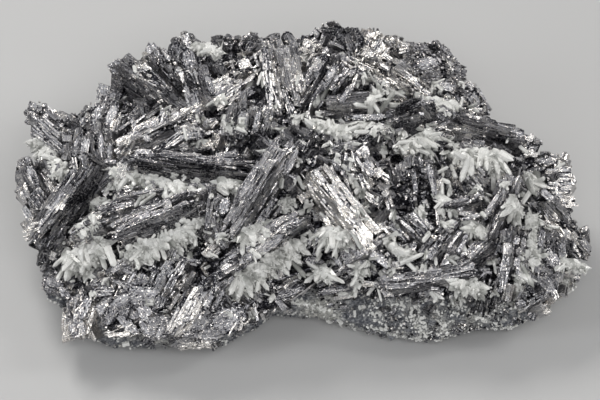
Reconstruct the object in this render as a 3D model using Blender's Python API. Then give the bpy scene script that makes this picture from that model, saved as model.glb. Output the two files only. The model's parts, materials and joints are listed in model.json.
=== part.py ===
"""Galena specimen: flattened twin blades and quartz combs grown on a bed of granular rock.

The show face is laid out on a plan that leans back from the floor. On the plan u runs to
the right and v runs up, both in millimetres, and headings are degrees from +u towards +v.
"Out" is square to the plan. The model itself is in metres, +Z up, resting on its flat base.
"""

import math
import random
from collections import namedtuple

import bmesh
import bpy
from mathutils import Vector, noise
from mathutils.bvhtree import BVHTree

MM = 0.001
GAP = 0.3 * MM
BED_GAP = 1.4 * GAP       # the bed's cutter grows along its corners, so its faces move less
SOCKET_GAP = 1.2 * GAP

# The plan of the show face: square to a line that rises this steeply from the floor.
PLAN_RISE = math.radians(50)
PLAN_RIGHT = Vector((1, 0, 0))
PLAN_UP = Vector((0, math.sin(PLAN_RISE), math.cos(PLAN_RISE)))
PLAN_OUT = Vector((0, -math.cos(PLAN_RISE), math.sin(PLAN_RISE)))
PLAN_SHIFT = Vector((0, 26 * MM, 0))
UP = Vector((0, 0, 1))
PLAN_CENTRE = (0, 4)
FAR_OUT = 400             # a place well clear of the specimen, along the plan's out direction
EDGE_PULL = 0.25          # how far a site past the edge is pulled in to it
MOST_SLOPE = 0.8          # how far a blade tips out of the plan to follow the surface

# The edge of the specimen on the plan (u, v), clockwise from the upper left.
RIM = (
    (-138, 38), (-124, 37), (-113, 35), (-106, 43), (-98, 52), (-95, 61), (-85, 65), (-74, 67),
    (-65, 77), (-55, 81), (-39, 81), (-20, 82), (0, 82), (21, 85), (40, 88), (51, 81), (68, 76),
    (80, 72), (86, 61), (96, 50), (110, 37), (123, 29), (134, 18), (140, 5), (137, -7),
    (140, -20), (148, -32), (143, -42), (131, -51), (115, -61), (94, -64), (73, -68), (55, -65),
    (31, -61), (10, -55), (-16, -55), (-27, -64), (-42, -73), (-60, -71), (-78, -72), (-99, -71),
    (-114, -67), (-117, -54), (-133, -47), (-135, -32), (-139, -19), (-144, -5), (-146, 8),
    (-140, 23),
)
RIM_Z_FRONT = 21          # height of the edge above the floor, at the front and the back
RIM_Z_BACK = 57
RIM_V_FRONT = -72
RIM_V_BACK = 86
CREST_Z = 71              # top of the mass between the blades
DOME_POWER = 2.1          # how square the dome's shoulders are

# The rock bed ends below the edge: at its seat, which drops behind the front of the specimen.
SEAT_DROP = 0.42          # share of the edge's height by which the seat drops at the back
# Rings of the rock bed: (share of the edge, share of the seat's height, rise in mm).
BED_RINGS = ((0.80, 0, 0), (0.94, 0.32, 0), (0.985, 0.76, 0), (0.94, 1.0, 1), (0.45, 1.0, 9))
BED_ROUGHNESS = 3.0
# Rings of the galena mass between the blades: (share of the edge, place between the seat at
# 0 and the edge's height at 1, rise in mm). The first one hides in the bed.
MASS_RINGS = ((0.86, 0, -7), (0.965, 0, 1), (0.965, 0.95, 2), (0.87, 1.0, 11))
MASS_DOME_SHARES = (0.70, 0.48, 0.22)
MASS_ROUGHNESS = 4.5
MASS_EVERY = 2            # the mass takes every second point of the edge
# Along the front the bed lies bare: between these u and below this v the mass draws back.
BARE_FROM_U = -25
BARE_TO_U = 118
BARE_BELOW_V = -48
BARE_SHARE = 0.87
BARE_RISE = 4

ROCK_SEED = 3
MASS_SEED = 11
CRAG_SCALE = 45           # crags to the metre, times about two

BLADE_SIDES = 6
DISC_SIDES = 8            # blades that lie this flat in the plan are discs
DISC_LEAN = 66
SQUARENESS = 0.75         # of a tablet's outline: 1 is an ellipse, less is squarer
CORNER_RANGE = (0.86, 1.08)      # how far a tablet's corners stray from its outline
BEVEL_RANGE = (0.8, 0.92)        # size of a tablet's smaller face
SLAB_OVERLAP = 1.18       # lamellae are this much thicker than their spacing
STEP_LENGTHS = (0.62, 0.9)       # lengths of the side lamellae, as shares of the main one
STEP_SLIDE = 0.14         # how far they slide along it
STEP_DROPS = (0.04, 0.16)        # how far they sit below its free edge

# u, v, heading, length, breadth, thickness, lean, lift, lamellae.
# Breadth stands out of the mass at lean 0 and lies in the plan at lean 90.
Blade = namedtuple("Blade", "u v heading length breadth thick lean lift count")

UPPER_LEFT_BLADES = (
    Blade(-131, 38, -37, 28, 18, 11, 22, 1, 3), Blade(-116, 37, -28, 13, 14, 5, 20, 1, 1),
    Blade(-106, 39, 80, 15, 13, 6, 60, 3, 1), Blade(-98, 43, 85, 18, 13, 6, 60, 4, 1),
    Blade(-98, 53, 60, 11, 14, 7, 50, 1, 1), Blade(-116, 26, 85, 19, 15, 6, 50, 2, 1),
    Blade(-107, 25, 80, 20, 15, 6, 45, 3, 1), Blade(-98, 25, 95, 20, 16, 7, 50, 3, 1),
    Blade(-79, 51, -40, 50, 24, 9, 22, 4, 2), Blade(-71, 62, -50, 28, 20, 6, 18, 3, 1),
    Blade(-82, 66, -30, 11, 14, 7, 45, 2, 1), Blade(-64, 73, -70, 22, 20, 8, 62, 3, 2),
    Blade(-54, 53, -70, 32, 20, 7, 22, 5, 2), Blade(-71, 38, 45, 14, 14, 5, 38, 4, 1),
    Blade(-71, 25, 26, 48, 24, 10, 32, 4, 3),
)
TOP_BLADES = (
    Blade(-48, 60, -60, 23, 18, 7, 40, 3, 1),
    Blade(-37, 51, 35, 15, 14, 7, 68, 4, 1), Blade(-28, 60, 30, 15, 20, 4, 15, 3, 1),
    Blade(-25, 79, 50, 14, 14, 5, 40, 1, 1),
    Blade(-10, 59, -78, 40, 26, 14, 14, 4, 3), Blade(6, 72, -10, 13, 16, 7, 40, 2, 2),
    Blade(0, 56, -80, 15, 20, 5, 58, 5, 1), Blade(12, 56, 58, 37, 22, 9, 28, 4, 2),
    Blade(26, 53, 52, 20, 18, 6, 32, 5, 1), Blade(25, 78, -65, 21, 18, 8, 38, 1, 1),
    Blade(42, 80, 60, 10, 14, 5, 30, 2, 1), Blade(48, 74, -35, 13, 16, 5, 28, 3, 1),
    Blade(35, 67, -20, 17, 18, 5, 28, 4, 1), Blade(47, 60, -30, 20, 18, 6, 28, 4, 1),
    Blade(82, 67, -30, 18, 14, 7, 40, 0, 1),
)
CENTRE_BLADES = (
    Blade(29, 41, 2, 34, 18, 6, 32, 5, 1), Blade(-27, 36, 80, 21, 17, 9, 42, 4, 1),
    Blade(-15, 31, 70, 15, 14, 6, 48, 4, 1), Blade(-54, 9, -6, 71, 22, 7, 28, 4, 2),
    Blade(-17, 1, 58, 63, 26, 9, 26, 5, 3), Blade(-11, 7, 45, 35, 22, 6, 22, 4, 1),
    Blade(-43, -6, 70, 14, 13, 7, 58, 4, 1), Blade(-32, -9, 75, 14, 13, 7, 58, 4, 1),
    Blade(18, -9, -52, 49, 24, 11, 28, 5, 3),
    Blade(29, 11, -60, 23, 18, 9, 32, 4, 1), Blade(37, -2, -35, 12, 16, 5, 28, 4, 1),
    Blade(46, -5, 60, 12, 14, 7, 48, 4, 1), Blade(57, -19, -45, 22, 18, 7, 28, 4, 1),
    Blade(60, 10, 85, 17, 15, 6, 38, 5, 1), Blade(67, 8, 80, 16, 15, 5, 38, 4, 1),
    Blade(60, 36, 20, 28, 18, 6, 32, 5, 1), Blade(-2, 25, -30, 20, 16, 6, 40, 3, 1),
    Blade(38, 25, 35, 20, 16, 6, 35, 3, 1), Blade(8, 24, 60, 22, 16, 6, 30, 3, 1),
)
LEFT_BLADES = (
    Blade(-138, 1, -68, 35, 16, 8, 28, 1, 2), Blade(-143, 8, -60, 19, 12, 6, 30, 0, 1),
    Blade(-129, 9, -65, 21, 16, 7, 38, 3, 1), Blade(-116, -7, 54, 54, 24, 12, 30, 3, 2),
    Blade(-104, -20, 16, 23, 18, 6, 32, 4, 1), Blade(-91, -13, 17, 28, 18, 7, 30, 4, 1),
    Blade(-69, -17, 23, 50, 24, 10, 36, 5, 2), Blade(-78, -4, 8, 33, 18, 6, 28, 3, 1),
    Blade(-61, -42, 60, 22, 18, 7, 32, 4, 1), Blade(-84, -37, 30, 26, 16, 8, 40, 2, 1),
    Blade(-124, -27, 60, 22, 16, 8, 40, 1, 1), Blade(-137, -18, -50, 16, 12, 7, 35, 0, 1),
)
LOWER_BLADES = (
    Blade(-17, -27, 33, 53, 22, 7, 28, 5, 2), Blade(23, -41, 20, 31, 16, 6, 32, 3, 1),
    Blade(29, -32, 40, 21, 16, 6, 28, 4, 1), Blade(-43, -49, 55, 17, 16, 6, 28, 3, 1),
    Blade(-30, -50, -35, 12, 14, 5, 30, 2, 1), Blade(65, -43, 8, 54, 16, 6, 32, 2, 2),
    Blade(99, -51, 80, 27, 15, 8, 55, 2, 1), Blade(-110, -62, 90, 21, 16, 6, 80, 3, 1),
    Blade(-78, -52, 60, 25, 22, 6, 78, 4, 2), Blade(-91, -60, 30, 14, 12, 5, 75, 3, 1),
    Blade(-71, -67, 10, 18, 14, 6, 78, 2, 1), Blade(-46, -61, 60, 35, 29, 7, 76, 4, 2),
    Blade(120, -53, 30, 20, 12, 7, 60, 1, 1),
)
RIGHT_BLADES = (
    Blade(84, 34, -11, 19, 16, 5, 28, 4, 1), Blade(94, 29, -12, 43, 20, 7, 28, 3, 2),
    Blade(119, 24, -15, 12, 14, 7, 48, 2, 1), Blade(87, -8, 25, 16, 16, 6, 38, 3, 1),
    Blade(103, -10, 65, 41, 20, 7, 28, 4, 2), Blade(72, -27, 55, 21, 18, 8, 32, 4, 1),
    Blade(134, 6, 82, 32, 20, 9, 74, 3, 2), Blade(127, -9, -48, 25, 18, 7, 28, 2, 1),
    Blade(139, -20, -50, 30, 14, 7, 33, 0, 1), Blade(128, -34, 80, 33, 22, 6, 72, 3, 2),
    Blade(117, -32, 85, 30, 16, 6, 68, 3, 1), Blade(109, -26, 85, 23, 18, 6, 38, 3, 1),
    Blade(85, 8, -50, 22, 16, 6, 34, 3, 1),
    Blade(104, 14, -35, 24, 16, 6, 34, 3, 1), Blade(92, -30, 40, 24, 16, 6, 34, 3, 1),
)
BLADE_GROUPS = (
    UPPER_LEFT_BLADES, TOP_BLADES, CENTRE_BLADES, LEFT_BLADES, LOWER_BLADES, RIGHT_BLADES,
)

# The massive galena beside the blades: u, v, radius, and how far its middle stands out.
Lump = namedtuple("Lump", "u v radius lift")
LUMPS = (Lump(70, 68, 13, -4), Lump(84, 56, 10, -4.5))
LUMP_ROUGHNESS = 3.5
LUMP_CRAG_SCALE = 110
LUMP_SEED = 7

# The back and the ends, past the edge of the show face: bearing round the specimen in
# degrees, share of the edge's height, heading on the flank, length, breadth, thickness,
# lamellae.
FlankBlade = namedtuple("FlankBlade", "bearing level heading length breadth thick count")
FLANK_BLADES = (
    FlankBlade(32, 0.95, 30, 26, 18, 8, 1), FlankBlade(52, 0.80, -40, 32, 20, 9, 2),
    FlankBlade(74, 0.95, 55, 28, 18, 8, 1), FlankBlade(96, 0.75, -20, 36, 20, 9, 2),
    FlankBlade(116, 0.95, 40, 30, 18, 8, 1), FlankBlade(136, 0.80, -55, 30, 20, 9, 2),
    FlankBlade(154, 0.85, 25, 26, 18, 8, 1), FlankBlade(172, 0.65, -30, 24, 16, 7, 1),
    FlankBlade(8, 0.75, -45, 24, 16, 7, 1),
)
FLANK_SHARE = 0.93        # how far out on the floor plan their middles are
FLANK_RISE = 2
FLANK_UPTURN = 0.3        # how far they turn up from level

# A comb of quartz along a line on the plan: ends, mean heading of its points and how far
# they fan, number of large points, and their length and radius.
Comb = namedtuple("Comb", "name u1 v1 u2 v2 heading fan points length radius")
COMBS = (
    Comb("quartz_band_left_edge", -138, 30, -121, 10, 205, 50, 4, 10, 1.2),
    Comb("quartz_comb_upper_left", -97, 14, -50, 1, -72, 40, 6, 12, 1.3),
    Comb("quartz_comb_left", -104, -10, -115, -19, -60, 30, 4, 9, 1.2),
    Comb("quartz_spray_left", -119, -32, -97, -24, -85, 70, 6, 14, 1.5),
    Comb("quartz_comb_lower_left", -88, -30, -48, -12, -62, 40, 6, 12, 1.3),
    Comb("quartz_spray_centre", -30, -20, -15, -14, -45, 110, 5, 13, 1.3),
    Comb("quartz_comb_lower_centre", -36, -46, -1, -22, -50, 40, 7, 12, 1.3),
    Comb("quartz_star_upper_right", 35, 48, 43, 55, 65, 150, 5, 13, 1.2),
    Comb("quartz_comb_upper_centre", 6, 37, 24, 32, -85, 120, 5, 11, 1.3),
    Comb("quartz_comb_upper_right", 31, 35, 47, 33, -85, 50, 4, 10, 1.2),
    Comb("quartz_comb_centre_right", 51, 23, 68, 33, -55, 40, 6, 12, 1.3),
    Comb("quartz_comb_right", 79, 21, 104, 20, -88, 60, 7, 15, 1.4),
    Comb("quartz_spike_right", 117, 10, 123, 6, -72, 60, 3, 14, 1.6),
    Comb("quartz_spray_right", 86, -15, 92, -18, -60, 120, 4, 10, 1.2),
    Comb("quartz_tuft_centre_right", 71, -2, 76, -5, -70, 60, 3, 9, 1.2),
    Comb("quartz_tuft_middle_right", 46, -25, 54, -29, -25, 110, 4, 10, 1.2),
    Comb("quartz_sheaf_right", 106, -1, 111, -8, -105, 30, 4, 12, 1.3),
    Comb("quartz_comb_far_right", 117, -10, 117, -34, -10, 40, 5, 9, 1.2),
    Comb("quartz_spray_lower_centre", 11, -18, 23, -19, -75, 70, 5, 12, 1.3),
    Comb("quartz_cross_lower", 9, -38, 15, -39, -90, 150, 4, 10, 1.1),
    Comb("quartz_crust_right_tip", 133, -32, 146, -37, -75, 70, 4, 8, 1.2),
    Comb("quartz_tuft_front_right", 78, -42, 92, -46, -80, 60, 4, 9, 1.2),
    Comb("quartz_comb_top_left", -56, 79, -43, 76, -80, 50, 3, 9, 1.2),
    Comb("quartz_tuft_upper_right", 66, 50, 82, 46, -90, 40, 3, 10, 1.2),
    Comb("quartz_points_centre", -41, 6, -31, 5, -50, 50, 3, 10, 1.2),
)
DRUSE_SIDES = 5
POINT_SIDES = 6
POINT_TIP = 1.5           # height of a point's pyramid, in radii
POINT_STRAY = 8           # how far a point strays from its heading, in degrees
POINT_LENGTHS = (0.8, 1.15)      # spread of a comb's lengths and radii
POINT_RADII = (0.85, 1.2)
POINT_STANDS = range(18, 88, 8)  # how far a point may lean out of the plan to stand clear
CLEAR_SHARES = (0.45, 0.7, 1.0)  # where along a point its clearance is tested
DRUSE_LIFT = 2.0          # height of a comb's line above what it grows on
DRUSE_SIZE = (3.7, 3.4)   # half width and half height of the crust along that line
DRUSE_END = 6.0           # how far the crust runs past the ends of the line

FLAT_ANGLE = math.radians(0.4)  # faces closer to one plane than this are one face
GALENA_KEPT_SHARE = 0.76      # of the triangles that uniting the blades leaves

SPECIMEN = "galena_twin_specimen"


def clear_scene():
    """Starts from an empty scene."""
    for existing in list(bpy.data.objects):
        bpy.data.objects.remove(existing)


def make_collection(name):
    collection = bpy.data.collections.new(name)
    bpy.context.scene.collection.children.link(collection)
    return collection


def make_material(name, colour, roughness, metallic, transmission=0.0):
    material = bpy.data.materials.new(name)
    material.use_nodes = True
    shader = material.node_tree.nodes["Principled BSDF"]
    shader.inputs["Base Color"].default_value = (*colour, 1)
    shader.inputs["Roughness"].default_value = roughness
    shader.inputs["Metallic"].default_value = metallic
    shader.inputs["Transmission Weight"].default_value = transmission
    return material


def add_object(name, bm, collection, material=None):
    """Makes an object from a bmesh and frees the bmesh."""
    bmesh.ops.recalc_face_normals(bm, faces=bm.faces)
    mesh = bpy.data.meshes.new(name)
    bm.to_mesh(mesh)
    bm.free()
    part = bpy.data.objects.new(name, mesh)
    if material:
        mesh.materials.append(material)
    collection.objects.link(part)
    return part


def mark_helper(helper):
    helper.hide_render = True
    helper.display_type = "WIRE"
    return helper


def plan_point(u, v, out=0.0):
    """The world point of a place on the plan, all in millimetres."""
    return PLAN_SHIFT + (u * PLAN_RIGHT + v * PLAN_UP + out * PLAN_OUT) * MM


def rim_height(v):
    """Height of the edge above the floor where the plan's v crosses it, in millimetres."""
    share = (v - RIM_V_FRONT) / (RIM_V_BACK - RIM_V_FRONT)
    return RIM_Z_FRONT + (RIM_Z_BACK - RIM_Z_FRONT) * min(max(share, 0), 1)


def rim_points():
    """The edge in the world: each point lies at its own height and keeps its place on the plan."""
    points = []
    for u, v in RIM:
        height = rim_height(v) * MM
        depth = (v * MM - height * PLAN_UP.z) / PLAN_UP.y
        points.append(Vector((u * MM, depth, height)) + PLAN_SHIFT)
    return points


def rim_centre():
    height = rim_height(PLAN_CENTRE[1]) * MM
    depth = (PLAN_CENTRE[1] * MM - height * PLAN_UP.z) / PLAN_UP.y
    return Vector((PLAN_CENTRE[0] * MM, depth, 0)) + PLAN_SHIFT


def craggy(point, seed):
    """A smooth random direction that changes from place to place."""
    return Vector([noise.noise(point + Vector((seed, 7.3 * axis, -seed))) for axis in range(3)])


def rough(point, size, scale, seed):
    """A craggy offset for a point, about size millimetres at most."""
    coarse = craggy(point * scale, seed)
    fine = craggy(point * scale * 2.7, seed + 0.5)
    return (coarse + fine / 2) * size * MM


def seat_height(point):
    """Height of the bed's upper edge under a point of the specimen's edge, in metres."""
    share = (point.z / MM - RIM_Z_FRONT) / (RIM_Z_BACK - RIM_Z_FRONT)
    return point.z * (1 - SEAT_DROP * share)


def drawn_in(point, share):
    """The floor plan place of an edge point, drawn in towards the centre."""
    centre = rim_centre()
    return centre + (Vector((point.x, point.y, 0)) - centre) * share


def mass_edge():
    """The edge that the mass keeps to: it leaves the bed bare along the front."""
    points = []
    for (u, v), point in list(zip(RIM, rim_points()))[::MASS_EVERY]:
        if BARE_FROM_U < u < BARE_TO_U and v < BARE_BELOW_V:
            drawn = drawn_in(point, BARE_SHARE)
            point = Vector((drawn.x, drawn.y, point.z + BARE_RISE * MM))
        points.append(point)
    return points


def bed_ring(share, level, rise):
    """One ring of the bed. Those on the floor stay flat."""
    ring = []
    for point in rim_points():
        place = drawn_in(point, share)
        place.z = seat_height(point) * level + rise * MM
        if level > 0:
            place += rough(place, BED_ROUGHNESS, CRAG_SCALE, ROCK_SEED)
        ring.append(place)
    return ring


def mass_ring(share, level, rise):
    """One ring of the mass's flank."""
    ring = []
    for point in mass_edge():
        place = drawn_in(point, share)
        seat = seat_height(point)
        place.z = seat + (point.z - seat) * level + rise * MM
        ring.append(place + rough(place, MASS_ROUGHNESS, CRAG_SCALE, MASS_SEED))
    return ring


def dome_ring(shoulder, share):
    """One ring of the mass's top, between its shoulder ring and the crest."""
    centre = rim_centre()
    inner = share / MASS_RINGS[-1][0]
    ring = []
    for base in shoulder:
        place = centre + (Vector((base.x, base.y, 0)) - centre) * inner
        place.z = base.z + (CREST_Z * MM - base.z) * (1 - inner ** DOME_POWER)
        ring.append(place + rough(place, MASS_ROUGHNESS, CRAG_SCALE, MASS_SEED))
    return ring


def loft(rings):
    """A closed bmesh through rings with equal numbers of points, capped at both ends."""
    bm = bmesh.new()
    loops = [[bm.verts.new(point) for point in ring] for ring in rings]
    count = len(loops[0])
    for lower, upper in zip(loops, loops[1:]):
        for i in range(count):
            j = (i + 1) % count
            bm.faces.new((lower[i], lower[j], upper[j], upper[i]))
    bm.faces.new(loops[0])
    bm.faces.new(loops[-1])
    bmesh.ops.recalc_face_normals(bm, faces=bm.faces)
    bmesh.ops.triangulate(bm, faces=bm.faces)
    return bm


def bed_shape(grow=0.0):
    """The rock bed, or with grow the same body a little larger all over."""
    bm = loft([bed_ring(*ring) for ring in BED_RINGS])
    if grow:
        bm.normal_update()
        moves = [vert.normal * grow * vert.calc_shell_factor() for vert in bm.verts]
        for vert, move in zip(bm.verts, moves):
            vert.co += move
    return bm


def mass_shape():
    """The galena between the blades: it hides in the bed below and domes up to the crest."""
    rings = [mass_ring(*ring) for ring in MASS_RINGS]
    shoulder = rings[-1]
    rings += [dome_ring(shoulder, share) for share in MASS_DOME_SHARES]
    return loft(rings)


class Ground:
    """A surface made of closed shapes, for setting things on it."""

    def __init__(self, shapes):
        joined = bmesh.new()
        for shape in shapes:
            mesh = bpy.data.meshes.new("ground")
            shape.to_mesh(mesh)
            joined.from_mesh(mesh)
            bpy.data.meshes.remove(mesh)
        self.tree = BVHTree.FromBMesh(joined)
        joined.free()

    def site(self, u, v):
        """The point and outward direction of the surface under a place on the plan.

        Past the surface's edge it is a point at the edge's height, a little towards it.
        """
        place, normal, _, _ = self.tree.ray_cast(plan_point(u, v, FAR_OUT), -PLAN_OUT)
        if place is None:
            level = (rim_height(v) - v * PLAN_UP.z) / PLAN_OUT.z
            start = plan_point(u, v, level)
            near, normal, _, _ = self.tree.find_nearest(start)
            place = start.lerp(near, EDGE_PULL)
        return place, (normal + PLAN_OUT).normalized()

    def is_clear(self, base, direction, length, radius):
        """Whether a crystal from base stands free of the surface."""
        if self.tree.ray_cast(base, direction, length)[0] is not None:
            return False
        along = (base + direction * length * share for share in CLEAR_SHARES)
        return all(self.tree.find_nearest(place)[3] > radius + GAP for place in along)


def plan_heading(degrees):
    """The direction of a heading on the plan."""
    turn = math.radians(degrees)
    return math.cos(turn) * PLAN_RIGHT + math.sin(turn) * PLAN_UP


def axes_on(normal, heading, lean):
    """Along, out and across for a thing on the plan that follows the surface under it."""
    along = plan_heading(heading)
    slope = -along.dot(normal) / max(PLAN_OUT.dot(normal), 0.5)
    along = along + PLAN_OUT * max(-MOST_SLOPE, min(MOST_SLOPE, slope)) * MOST_SLOPE
    stretch = along.length
    along.normalize()
    out = (normal - normal.dot(along) * along).normalized()
    side = out.cross(along)
    tip = math.radians(lean)
    raised = math.cos(tip) * out + math.sin(tip) * side
    return along, raised, along.cross(raised), stretch


def squared(value):
    """A cosine or sine pushed out towards a rectangle, its sign kept."""
    return math.copysign(abs(value) ** SQUARENESS, value)


def tablet(centre, axes, length, breadth, thick, rng, sides):
    """One flattened crystal: a bevelled tablet with an uneven, angular outline."""
    along, out, across = axes
    bm = bmesh.new()
    bmesh.ops.create_cone(
        bm, cap_ends=True, segments=sides, radius1=1, radius2=rng.uniform(*BEVEL_RANGE), depth=1
    )
    corners = [rng.uniform(*CORNER_RANGE) for _ in range(sides)]
    for vert in bm.verts:
        angle = math.atan2(vert.co.y, vert.co.x) + math.pi / 2
        corner = corners[round(angle / math.tau * sides) % sides]
        reach = math.hypot(vert.co.x, vert.co.y) * corner / 2
        vert.co = (
            centre + along * squared(math.cos(angle)) * reach * length
            + out * squared(math.sin(angle)) * reach * breadth + across * vert.co.z * thick
        )
    bmesh.ops.recalc_face_normals(bm, faces=bm.faces)
    return bm


def twin_lamellae(base, axes, blade, stretch, lift, rng, sides=BLADE_SIDES):
    """A twin: lamellae side by side, stepped along their length and at their free edge."""
    along, out, across = axes
    length = blade.length * stretch * MM
    slab = blade.thick / blade.count * MM
    for i in range(blade.count):
        centre = base + across * (i - (blade.count - 1) / 2) * slab + out * lift * MM
        size = length
        if i != blade.count // 2:
            size = length * rng.uniform(*STEP_LENGTHS)
            centre += along * rng.uniform(-STEP_SLIDE, STEP_SLIDE) * length
            centre -= out * rng.uniform(*STEP_DROPS) * blade.breadth * MM
        yield tablet(centre, axes, size, blade.breadth * MM, slab * SLAB_OVERLAP, rng, sides)


def blade_shapes(ground):
    """Every lamella of the show face's blades."""
    rng = random.Random(5)
    for group in BLADE_GROUPS:
        for blade in group:
            place, normal = ground.site(blade.u, blade.v)
            *axes, stretch = axes_on(normal, blade.heading, blade.lean)
            sides = DISC_SIDES if blade.lean > DISC_LEAN else BLADE_SIDES
            yield from twin_lamellae(place, axes, blade, stretch, blade.lift, rng, sides)


def flank_shapes():
    """Every lamella of the blades on the back and the ends."""
    rng = random.Random(23)
    centre = rim_centre().to_2d()
    for blade in FLANK_BLADES:
        bearing = math.radians(blade.bearing)
        outward = Vector((math.cos(bearing), math.sin(bearing), 0))
        facing = outward.to_2d()
        edge = max(rim_points(), key=lambda p: (p.to_2d() - centre).normalized().dot(facing))
        place = drawn_in(edge, FLANK_SHARE)
        seat = seat_height(edge)
        place.z = seat + (edge.z - seat) * blade.level + FLANK_RISE * MM
        turn = math.radians(blade.heading)
        along = math.cos(turn) * Vector((-outward.y, outward.x, 0)) + math.sin(turn) * UP
        out = outward + UP * FLANK_UPTURN
        out = (out - along * out.dot(along)).normalized()
        yield from twin_lamellae(place, (along, out, along.cross(out)), blade, 1, 0, rng)


def lump_shape(ground, lump):
    """A rounded boss of massive galena."""
    place, normal = ground.site(lump.u, lump.v)
    centre = place + normal * lump.lift * MM
    bm = bmesh.new()
    bmesh.ops.create_icosphere(bm, subdivisions=2, radius=lump.radius * MM)
    for vert in bm.verts:
        vert.co += centre
        vert.co += rough(vert.co, LUMP_ROUGHNESS, LUMP_CRAG_SCALE, LUMP_SEED)
    return bm


def quartz_point(base, direction, length, radius, rng):
    """One quartz crystal: a six-sided prism that ends in a pyramid."""
    side = direction.orthogonal().normalized()
    other = direction.cross(side)
    spin = rng.uniform(0, math.tau / POINT_SIDES)
    bm = bmesh.new()
    bmesh.ops.create_cone(
        bm, cap_ends=True, segments=POINT_SIDES, radius1=radius, radius2=radius, depth=length
    )
    cap = [face for face in bm.faces if face.calc_center_median().z > length / 4]
    tip = bmesh.ops.poke(bm, faces=cap)["verts"][0]
    for vert in bm.verts:
        angle = math.atan2(vert.co.y, vert.co.x) + spin
        reach = math.hypot(vert.co.x, vert.co.y)
        rise = 0 if vert.co.z < 0 else length
        if rise and vert is not tip:
            rise -= radius * POINT_TIP
        across = side * math.cos(angle) + other * math.sin(angle)
        vert.co = base + across * reach + direction * rise
    bmesh.ops.recalc_face_normals(bm, faces=bm.faces)
    return bm


def druse_shape(start, end, out, grow):
    """The low ridge of crust that a comb of quartz grows from, along its line."""
    along = (end - start).normalized()
    across = out.cross(along).normalized()
    half_width, half_height = (size * MM + grow for size in DRUSE_SIZE)
    length = (end - start).length + 2 * (DRUSE_END * MM + grow)
    bm = bmesh.new()
    bmesh.ops.create_uvsphere(bm, u_segments=DRUSE_SIDES, v_segments=3, radius=1)
    for vert in bm.verts:
        vert.co = (
            (start + end) / 2 + along * vert.co.z * length / 2
            + across * vert.co.x * half_width + out * vert.co.y * half_height
        )
    bmesh.ops.recalc_face_normals(bm, faces=bm.faces)
    return bm


def clear_direction(ground, base, flat, length, radius):
    """The lowest direction out of the plan, over the heading flat, that stands free."""
    for stand in POINT_STANDS:
        tilt = math.radians(stand)
        direction = math.cos(tilt) * flat + math.sin(tilt) * PLAN_OUT
        if ground.is_clear(base, direction, length, radius):
            return direction
    return None


def comb_shapes(ground, comb, grow=0.0):
    """The crust and points of one comb; with grow they are a little larger all over."""
    rng = random.Random(comb.name)
    first, normal_first = ground.site(comb.u1, comb.v1)
    last, normal_last = ground.site(comb.u2, comb.v2)
    out = (normal_first + normal_last).normalized()
    lift = out * DRUSE_LIFT * MM
    yield druse_shape(first + lift, last + lift, out, grow)
    for i in range(comb.points):
        share = (i + 0.5) / comb.points
        stray = rng.uniform(-POINT_STRAY, POINT_STRAY)
        flat = plan_heading(comb.heading + comb.fan * (share - 0.5) + stray)
        base = first.lerp(last, share) + lift
        length = comb.length * rng.uniform(*POINT_LENGTHS) * MM
        radius = comb.radius * rng.uniform(*POINT_RADII) * MM
        direction = clear_direction(ground, base, flat, length, radius)
        if direction:
            yield quartz_point(base, direction, length + grow, radius + grow, rng)


def keep_outer_shell(part):
    """Drops what a union leaves inside a body, or loose beside it: only the largest shell stays."""
    bm = bmesh.new()
    bm.from_mesh(part.data)
    unseen = set(bm.verts)
    shells = []
    while unseen:
        stack = [unseen.pop()]
        shell = set(stack)
        while stack:
            vert = stack.pop()
            for edge in vert.link_edges:
                other = edge.other_vert(vert)
                if other in unseen:
                    unseen.remove(other)
                    shell.add(other)
                    stack.append(other)
        shells.append(shell)
    largest = max(shells, key=len)
    loose = [vert for shell in shells if shell is not largest for vert in shell]
    bmesh.ops.delete(bm, geom=loose, context="VERTS")
    bm.to_mesh(part.data)
    bm.free()


def drop_flaps(bm):
    """Removes pairs of triangles that lie back to back on the same three corners."""
    alike = {}
    for face in bm.faces:
        alike.setdefault(frozenset(face.verts), []).append(face)
    flaps = [face for faces in alike.values() if len(faces) > 1 for face in faces]
    bmesh.ops.delete(bm, geom=flaps, context="FACES")


def bake(part):
    """Applies a part's modifiers, and joins again the flat faces that the cuts left in bits."""
    depsgraph = bpy.context.evaluated_depsgraph_get()
    solid = bpy.data.meshes.new_from_object(part.evaluated_get(depsgraph))
    part.modifiers.clear()
    part.data = solid
    keep_outer_shell(part)
    bm = bmesh.new()
    bm.from_mesh(part.data)
    bmesh.ops.triangulate(bm, faces=bm.faces)
    drop_flaps(bm)
    bmesh.ops.dissolve_limit(bm, angle_limit=FLAT_ANGLE, verts=bm.verts, edges=bm.edges)
    bmesh.ops.triangulate(bm, faces=bm.faces)
    drop_flaps(bm)
    bm.to_mesh(part.data)
    bm.free()


def boolean(part, operation, collection):
    modifier = part.modifiers.new(operation.lower(), "BOOLEAN")
    modifier.operation = operation
    modifier.operand_type = "COLLECTION"
    modifier.collection = collection
    modifier.solver = "EXACT"


def fuse(name, shapes, collection, material, kept_share=1.0):
    """Unites closed shapes into one named solid, kept to a share of the triangles."""
    shapes = list(shapes)
    part = add_object(name, shapes[0], collection, material)
    pieces = make_collection(name + "_pieces")
    for i, shape in enumerate(shapes[1:]):
        mark_helper(add_object(f"{name}_piece_{i}", shape, pieces))
    boolean(part, "UNION", pieces)
    bake(part)
    if kept_share < 1:
        modifier = part.modifiers.new("thin_out", "DECIMATE")
        modifier.ratio = kept_share
        bake(part)
    return part


def cut(part, cutters):
    """Cuts a solid by a collection of cutters."""
    boolean(part, "DIFFERENCE", cutters)
    bake(part)


def galena_shapes():
    """Every closed shape that the galena is united from, the mass first."""
    mass = mass_shape()
    ground = Ground([mass])
    lumps = [lump_shape(ground, lump) for lump in LUMPS]
    return [mass, *blade_shapes(ground), *flank_shapes(), *lumps]


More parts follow.
